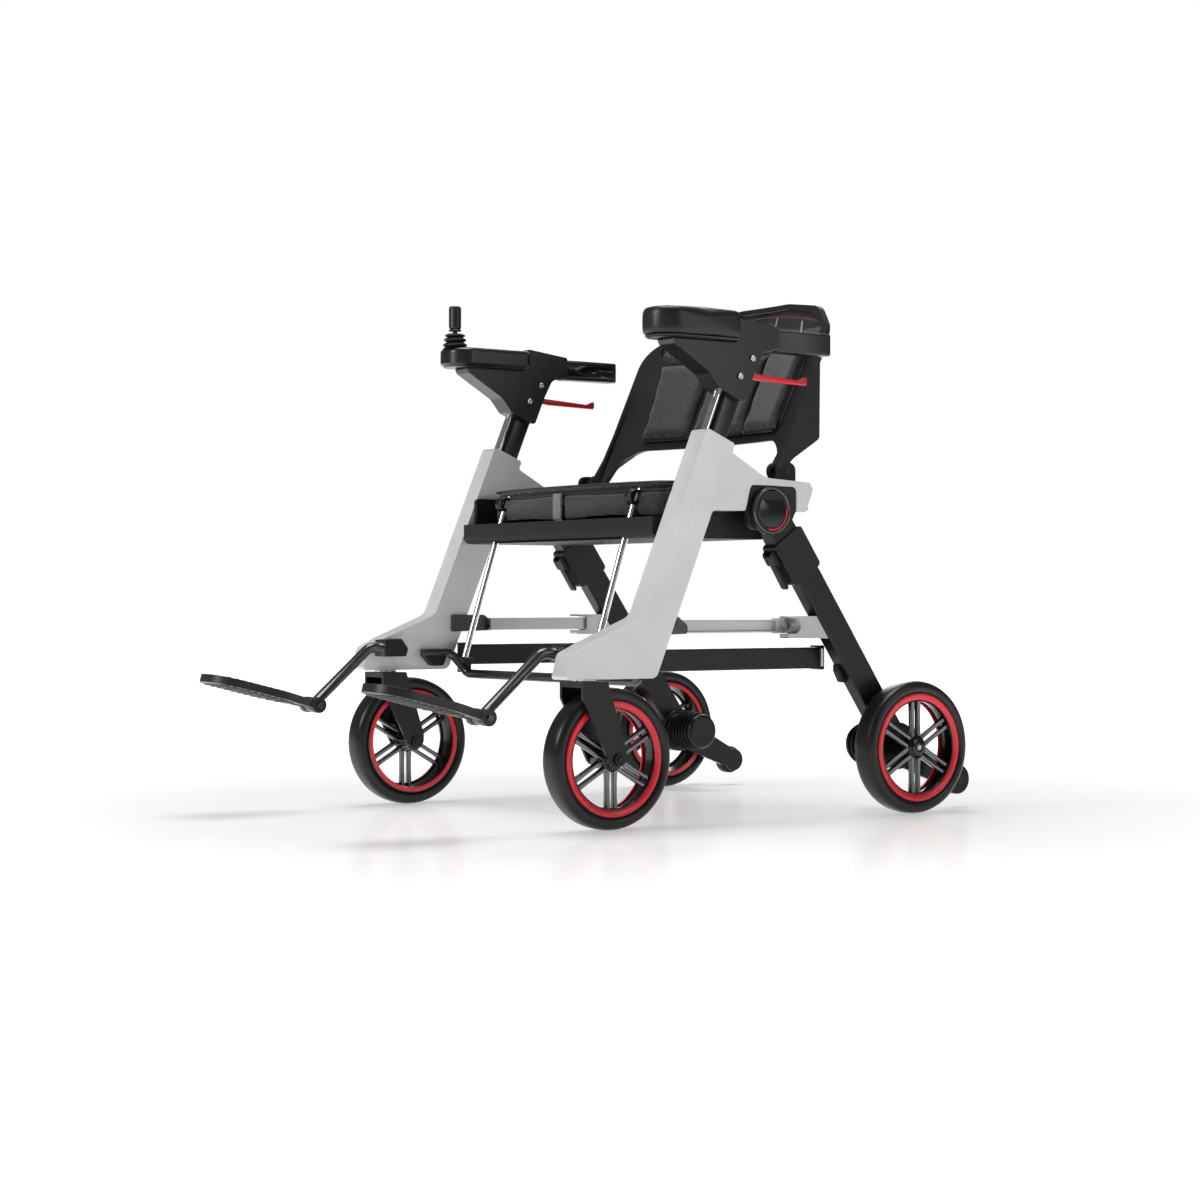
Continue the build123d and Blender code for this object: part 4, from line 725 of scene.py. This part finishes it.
def window_half(height):
    """Half the width of the shell's opening at a height above the pivot."""
    if height < 0.200:
        return 0.174 + 0.014 * (height - 0.066) / 0.134
    if height < 0.226:
        return 0.188 + 0.026 * (height - 0.200) / 0.026
    rise = (height - 0.226) / 0.046
    return 0.214 - 0.154 * rise ** 1.7


def panel_sides(inner, outer_low, outer_high):
    return (lambda v: inner), (lambda v: outer_low + (outer_high - outer_low) * v)


PAD_LOW, PAD_HIGH = 0.0675, 0.199
panels = {
    "left": panel_sides(0.0695, 0.1722, 0.1862),
    "middle": ((lambda v: -0.0668), (lambda v: 0.0668)),
    "right": tuple((lambda v, f=f: -f(v)) for f in reversed(panel_sides(0.0695, 0.1722, 0.1862))),
}
for name, (left, right) in panels.items():
    quilt = bowed_quilt(left, right, lambda u: PAD_LOW, lambda u: PAD_HIGH, -0.0095, 0.0008, 22, 18)
    pad = puffed(quilt, f"back_pad_{name}", back_cloth, "backrest", 0.0050, 4.5, 0.0042)
    if name == "middle":
        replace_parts(pad, "backrest_pads")
    border = [back_skin(left(v) * 0.985 if name != "middle" else left(v), PAD_LOW + (PAD_HIGH - PAD_LOW) * v,
                        -0.0040) for v in [i / 8 for i in range(9)]]
    border += [back_skin(left(1) + (right(1) - left(1)) * u, PAD_HIGH, -0.0040)
               for u in [i / 8 for i in range(1, 9)]]
    border += [back_skin(right(v), PAD_LOW + (PAD_HIGH - PAD_LOW) * v, -0.0040)
               for v in [i / 8 for i in range(7, -1, -1)]]
    border += [back_skin(left(0) + (right(0) - left(0)) * u, PAD_LOW, -0.0040)
               for u in [i / 8 for i in range(7, 0, -1)]]
    cord_round([tuple(p) for p in border], 0.0021, f"back_piping_{name}", piping_vinyl, "backrest")

# A taut backing cloth behind the panels closes the gaps between them.
backing = bowed_quilt((lambda v: -window_half(0.064 + 0.136 * v)), (lambda v: window_half(0.064 + 0.136 * v)),
                      (lambda u: 0.064), (lambda u: 0.200), 0.0012, 0.0032, 40, 12)
to_piece(backing, "back_backing", back_cloth, "backrest", 60)

# Mesh: crossed threads about 2 mm apart, tied under the shell's rim, with a dark red liner and four
# soft grey ribs behind it.

def net_layer(columns, rows, setback, thickness, name, finish):
    """Open net over the top of the window, its threads square in section."""
    threads = bmesh.new()
    grid = []
    for j in range(rows + 1):
        height = 0.1945 + 0.0770 * j / rows
        half = window_half(height) + 0.004
        grid.append([threads.verts.new(back_skin(half * (2 * i / columns - 1), height, setback))
                     for i in range(columns + 1)])
    for j in range(rows):
        for i in range(columns):
            threads.faces.new([grid[j][i], grid[j][i + 1], grid[j + 1][i + 1], grid[j + 1][i]])
    bmesh.ops.wireframe(threads, faces=threads.faces, thickness=thickness, use_replace=True,
                        use_boundary=True,
                        use_even_offset=False, use_relative_offset=False, use_crease=False,
                        crease_weight=0, material_offset=0)
    bmesh.ops.recalc_face_normals(threads, faces=threads.faces)
    return to_piece(threads, name, finish, "backrest", 60)


net = net_layer(230, 40, 0.0042, 0.0015, "back_net", thread_black)
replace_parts(net, "backrest_mesh")
net_layer(116, 21, 0.0062, 0.0024, "back_liner_net", liner_red)

# The liner behind the net, and the soft ribs that stiffen the top.
for index, (start, end) in enumerate(((-0.150, -0.120), (-0.052, -0.040), (0.052, 0.040), (0.150, 0.120))):
    points = [tuple(back_skin(start + (end - start) * u, 0.185 + 0.080 * u * (1 - 0.25 * abs(end) / 0.12),
                              0.0030))
              for u in [i / 8 for i in range(9)]]
    cord_round(points, 0.0018, f"back_rib_{index + 1}", rib_grey, "backrest", closed=False)
liner_points = [tuple(back_skin((window_half(0.262 - 0.030 * abs(u)) - 0.004) * u,
                                0.262 - 0.030 * abs(u) ** 2, 0.0072))
                for u in [i / 12 - 1 for i in range(25)]]
cord_round(liner_points, 0.0030, "back_liner_edge", liner_red, "backrest", closed=False)


# Armrests.
# Each slides on a black post and a chrome rod. A moulded bracket carries the padded rest in front
# and the bar behind, under which the red squeeze lever hangs.
arm_leather = coating("arm_leather", (0.006, 0.006, 0.0065), 0.38, gloss=0.4, mottle=0.15, speckle=420,
                      relief=0.16)
satin_black = coating("satin_black", (0.0058, 0.0058, 0.006), 0.30, gloss=0.48, mottle=0.12, speckle=1500,
                      relief=0.08)
ARM_X, SOLE_Y, SOLE_Z, REST_Z = 0.275, 0.0275, 0.6290, 0.6965
LEVER_GROWTH = (1.12, 1.0, 1.22)  # the drawn levers are stouter than the node's


def split_solids(node):
    """The node's solids, each as a mesh of its own, the front-most first."""
    whole = joined_faces(node)
    whole.verts.ensure_lookup_table()
    left, found = set(whole.verts), []
    while left:
        island, edge = set(), [next(iter(left))]
        while edge:
            vert = edge.pop()
            if vert not in island:
                island.add(vert)
                edge += [e.other_vert(vert) for e in vert.link_edges]
        left -= island
        found.append(island)
    found.sort(key=lambda island: min(v.co.y for v in island))
    pieces = []
    for island in found:
        piece = whole.copy()
        whole.verts.index_update()
        wanted = {v.index for v in island}
        piece.verts.ensure_lookup_table()
        bmesh.ops.delete(piece, geom=[v for v in piece.verts if v.index not in wanted], context="VERTS")
        pieces.append(piece)
    whole.free()
    return pieces


for side, sign in SIDES:
    body = f"{side}_armrest"
    chrome_rod, post = split_solids(f"{side}_arm_posts")
    to_piece(chrome_rod, f"{side}_chrome_rod", chrome, body, 50)
    post_piece = to_piece(soften(post, 0.0022), f"{side}_height_post", satin_black, body)
    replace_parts(post_piece, f"{side}_arm_posts")
    rounded(f"{side}_arm_bracket", satin_black, 0.0024, body, angle=28, segments=4)
    grip = joined_faces(f"{side}_rear_bar")
    soften(grip, 0.0010, 45, 2)
    inner = max(grip.faces, key=lambda f: f.calc_area() if f.normal.x * sign < -0.9 else 0)
    bmesh.ops.inset_individual(grip, faces=[inner], thickness=0.0045, depth=0.0)
    bmesh.ops.inset_individual(grip, faces=[inner], thickness=0.0008, depth=-0.0028)
    inner.material_index = 1
    bar_piece = to_piece(grip, f"{side}_rear_bar_finished", satin_black, body)
    bar_piece.data.materials.append(gloss_black)
    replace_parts(bar_piece, f"{side}_rear_bar")
    lever = soften(joined_faces(f"{side}_release_lever"), 0.0014, 40)
    bmesh.ops.scale(lever, verts=lever.verts, vec=LEVER_GROWTH,
                    space=Matrix.Translation((-sign * ARM_X, 0, -(SOLE_Z + 0.0230))))
    lever_piece = to_piece(lever, f"{side}_release_lever_finished", signal_red, f"{side}_release")
    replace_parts(lever_piece, f"{side}_release_lever")
    for face, (y, z) in enumerate([(SOLE_Y + 0.0385, SOLE_Z + 0.018), (SOLE_Y + 0.0615, SOLE_Z + 0.045)] * 2):
        outward = 1 if face < 2 else -1
        reach = 0.0192 if face < 2 else 0.0178
        head = turned([(0.0, 0.0), (0.0, 0.0050), (0.0022, 0.0050), (0.0030, 0.0044), (0.0032, 0.0030),
                       (0.0024, 0.0026), (0.0020, 0.0)], (0, 0, 0), sign * outward, 32)
        bmesh.ops.translate(head, verts=head.verts, vec=(sign * (ARM_X + outward * reach), y, z))
        to_piece(head, f"{side}_bracket_screw_{face + 1}", steel, body, 40)

# The left rest: a hard lower shell and a stitched, foam-filled top that swells over it.
rest = joined_faces("left_arm_pad")
upper = rest.copy()
bmesh.ops.bisect_plane(rest, geom=rest.verts[:] + rest.edges[:] + rest.faces[:],
                       plane_co=(0, 0, REST_Z + 0.0032), plane_no=(0, 0, 1), clear_outer=True)
bmesh.ops.holes_fill(rest, edges=[e for e in rest.edges if e.is_boundary], sides=0)
to_piece(soften(rest, 0.0012, 40, 2), "left_rest_shell", satin_black, "left_armrest")
bmesh.ops.bisect_plane(upper, geom=upper.verts[:] + upper.edges[:] + upper.faces[:],
                       plane_co=(0, 0, REST_Z + 0.0030), plane_no=(0, 0, 1), clear_inner=True)
bmesh.ops.holes_fill(upper, edges=[e for e in upper.edges if e.is_boundary], sides=0)
bmesh.ops.recalc_face_normals(upper, faces=upper.faces)
foam_top = puffed(upper, "left_rest_pad", arm_leather, "left_armrest", 0.0050, 3.0, 0.0042)
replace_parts(foam_top, "left_arm_pad")

# Joystick.
# The right rest is the controller's housing. A stick with a plain grip stands in a bellows boot,
# pivoted on a small gimbal, and a round power button lies behind it.
rounded("joystick_housing", satin_black, 0.0010, "right_armrest", angle=40, segments=2)
rounded("joystick_gimbal", steel, 0.0004, "stick_gimbal", angle=60, segments=1)
STICK_X, STICK_Y, BOOT_Z = -0.272, -0.068, REST_Z + 0.031


def turned_up(profile, x, y, segments=64):
    """A piece turned about an upright axis. The profile is (radius, z) pairs."""
    mesh = bmesh.new()
    verts = [mesh.verts.new((r, 0.0, z)) for r, z in profile]
    edges = [mesh.edges.new(pair) for pair in zip(verts, verts[1:])]
    bmesh.ops.spin(mesh, geom=verts + edges, cent=(0, 0, 0), axis=(0, 0, 1), angle=2 * pi,
                   steps=segments, use_merge=True, use_normal_flip=False)
    bmesh.ops.remove_doubles(mesh, verts=mesh.verts, dist=0.000001)
    bmesh.ops.translate(mesh, verts=mesh.verts, vec=(x, y, 0))
    bmesh.ops.recalc_face_normals(mesh, faces=mesh.faces)
    return mesh


def ring_steps(radius, low, high, swell):
    """Outer profile of one bellows ring, rounded over between two grooves."""
    return [(radius - swell * (1 - sin(pi * i / 8)), low + (high - low) * i / 8) for i in range(9)]


bellows = [(0.0125, BOOT_Z - 0.0005), (0.0200, BOOT_Z - 0.0005)]
bellows += ring_steps(0.0196, BOOT_Z + 0.0003, BOOT_Z + 0.0085, 0.0050)
bellows += ring_steps(0.0182, BOOT_Z + 0.0090, BOOT_Z + 0.0165, 0.0050)
bellows += ring_steps(0.0166, BOOT_Z + 0.0170, BOOT_Z + 0.0226, 0.0045)
bellows += [(0.0118, BOOT_Z + 0.0227), (0.0118, BOOT_Z + 0.0180), (0.0128, BOOT_Z + 0.0120),
            (0.0125, BOOT_Z - 0.0005)]
boot = to_piece(turned_up(bellows, STICK_X, STICK_Y), "joystick_bellows", rubber, "right_armrest", 50)
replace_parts(boot, "joystick_boot")
low = BOOT_Z + 0.0300
grip_profile = [(0.0, low - 0.0075), (0.0036, low - 0.0075), (0.0038, low - 0.0040), (0.0095, low - 0.0036),
                (0.0105, low - 0.0020), (0.0095, low - 0.0004), (0.0082, low + 0.0004),
                (0.0088, low + 0.0016),
                (0.0094, low + 0.0035), (0.0096, low + 0.0160), (0.0099, low + 0.0290),
                (0.0095, low + 0.0335), (0.0075, low + 0.0362), (0.0040, low + 0.0369), (0.0, low + 0.0370)]
to_piece(turned_up(grip_profile, STICK_X, STICK_Y), "joystick_grip", satin_black, "stick", 50)
rounded("joystick_stick", satin_black, 0.0006, "stick", angle=50, segments=2)
rounded("power_button", gloss_black, 0.0006, "button", angle=50, segments=3)


# Footrests.
# Dark satin tubes bend forward and down from the feet to a pin, on which each tongue-shaped plate
# flips up. The plates have a raised rim and ribs beneath.
plate_black = coating("plate_black", (0.012, 0.012, 0.013), 0.36, gloss=0.4, mottle=0.12, speckle=1500,
                      relief=0.10)
hangers = soften(joined_faces("footrest_hangers"), 0.0006, 55, 1)
for face in hangers.faces:
    if face.calc_center_median().y > -0.2215:
        face.material_index = 1
hanger_piece = to_piece(hangers, "footrest_hangers_finished", dark_tube, "main_frame", 40)
hanger_piece.data.materials.append(black_plastic)
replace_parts(hanger_piece, "footrest_hangers")
TOE_Y, TOE_Z, PLATE_TILT = -0.344, 0.162, radians(14)
for side, sign in SIDES:
    body = f"{side}_footrest"
    rounded(f"{side}_footplate", plate_black, 0.0030, body, angle=40, segments=3)
    middle = sign * 0.244
    tilt = Matrix.Translation((0, TOE_Y, TOE_Z)) @ Matrix.Rotation(-PLATE_TILT, 4, "X")
    for index in range(11):
        forward = 0.048 + 0.0115 * index
        half = 0.042 if forward > 0.075 else 0.028 + 0.014 * (forward - 0.048) / 0.027
        if forward > 0.145:
            half = 0.042 * (1 - ((forward - 0.145) / 0.044) ** 2) ** 0.5
        for face, low, high in (("under", -0.0074, -0.0055), ("tread", 0.0055, 0.0071)):
            rib = soft_box((middle - half, -forward - 0.0018, low),
                           (middle + half, -forward + 0.0018, high), 0.0006, 2)
            bmesh.ops.transform(rib, matrix=tilt, verts=rib.verts)
            to_piece(rib, f"{side}_{face}_rib_{index + 1}", plate_black, body, 40)
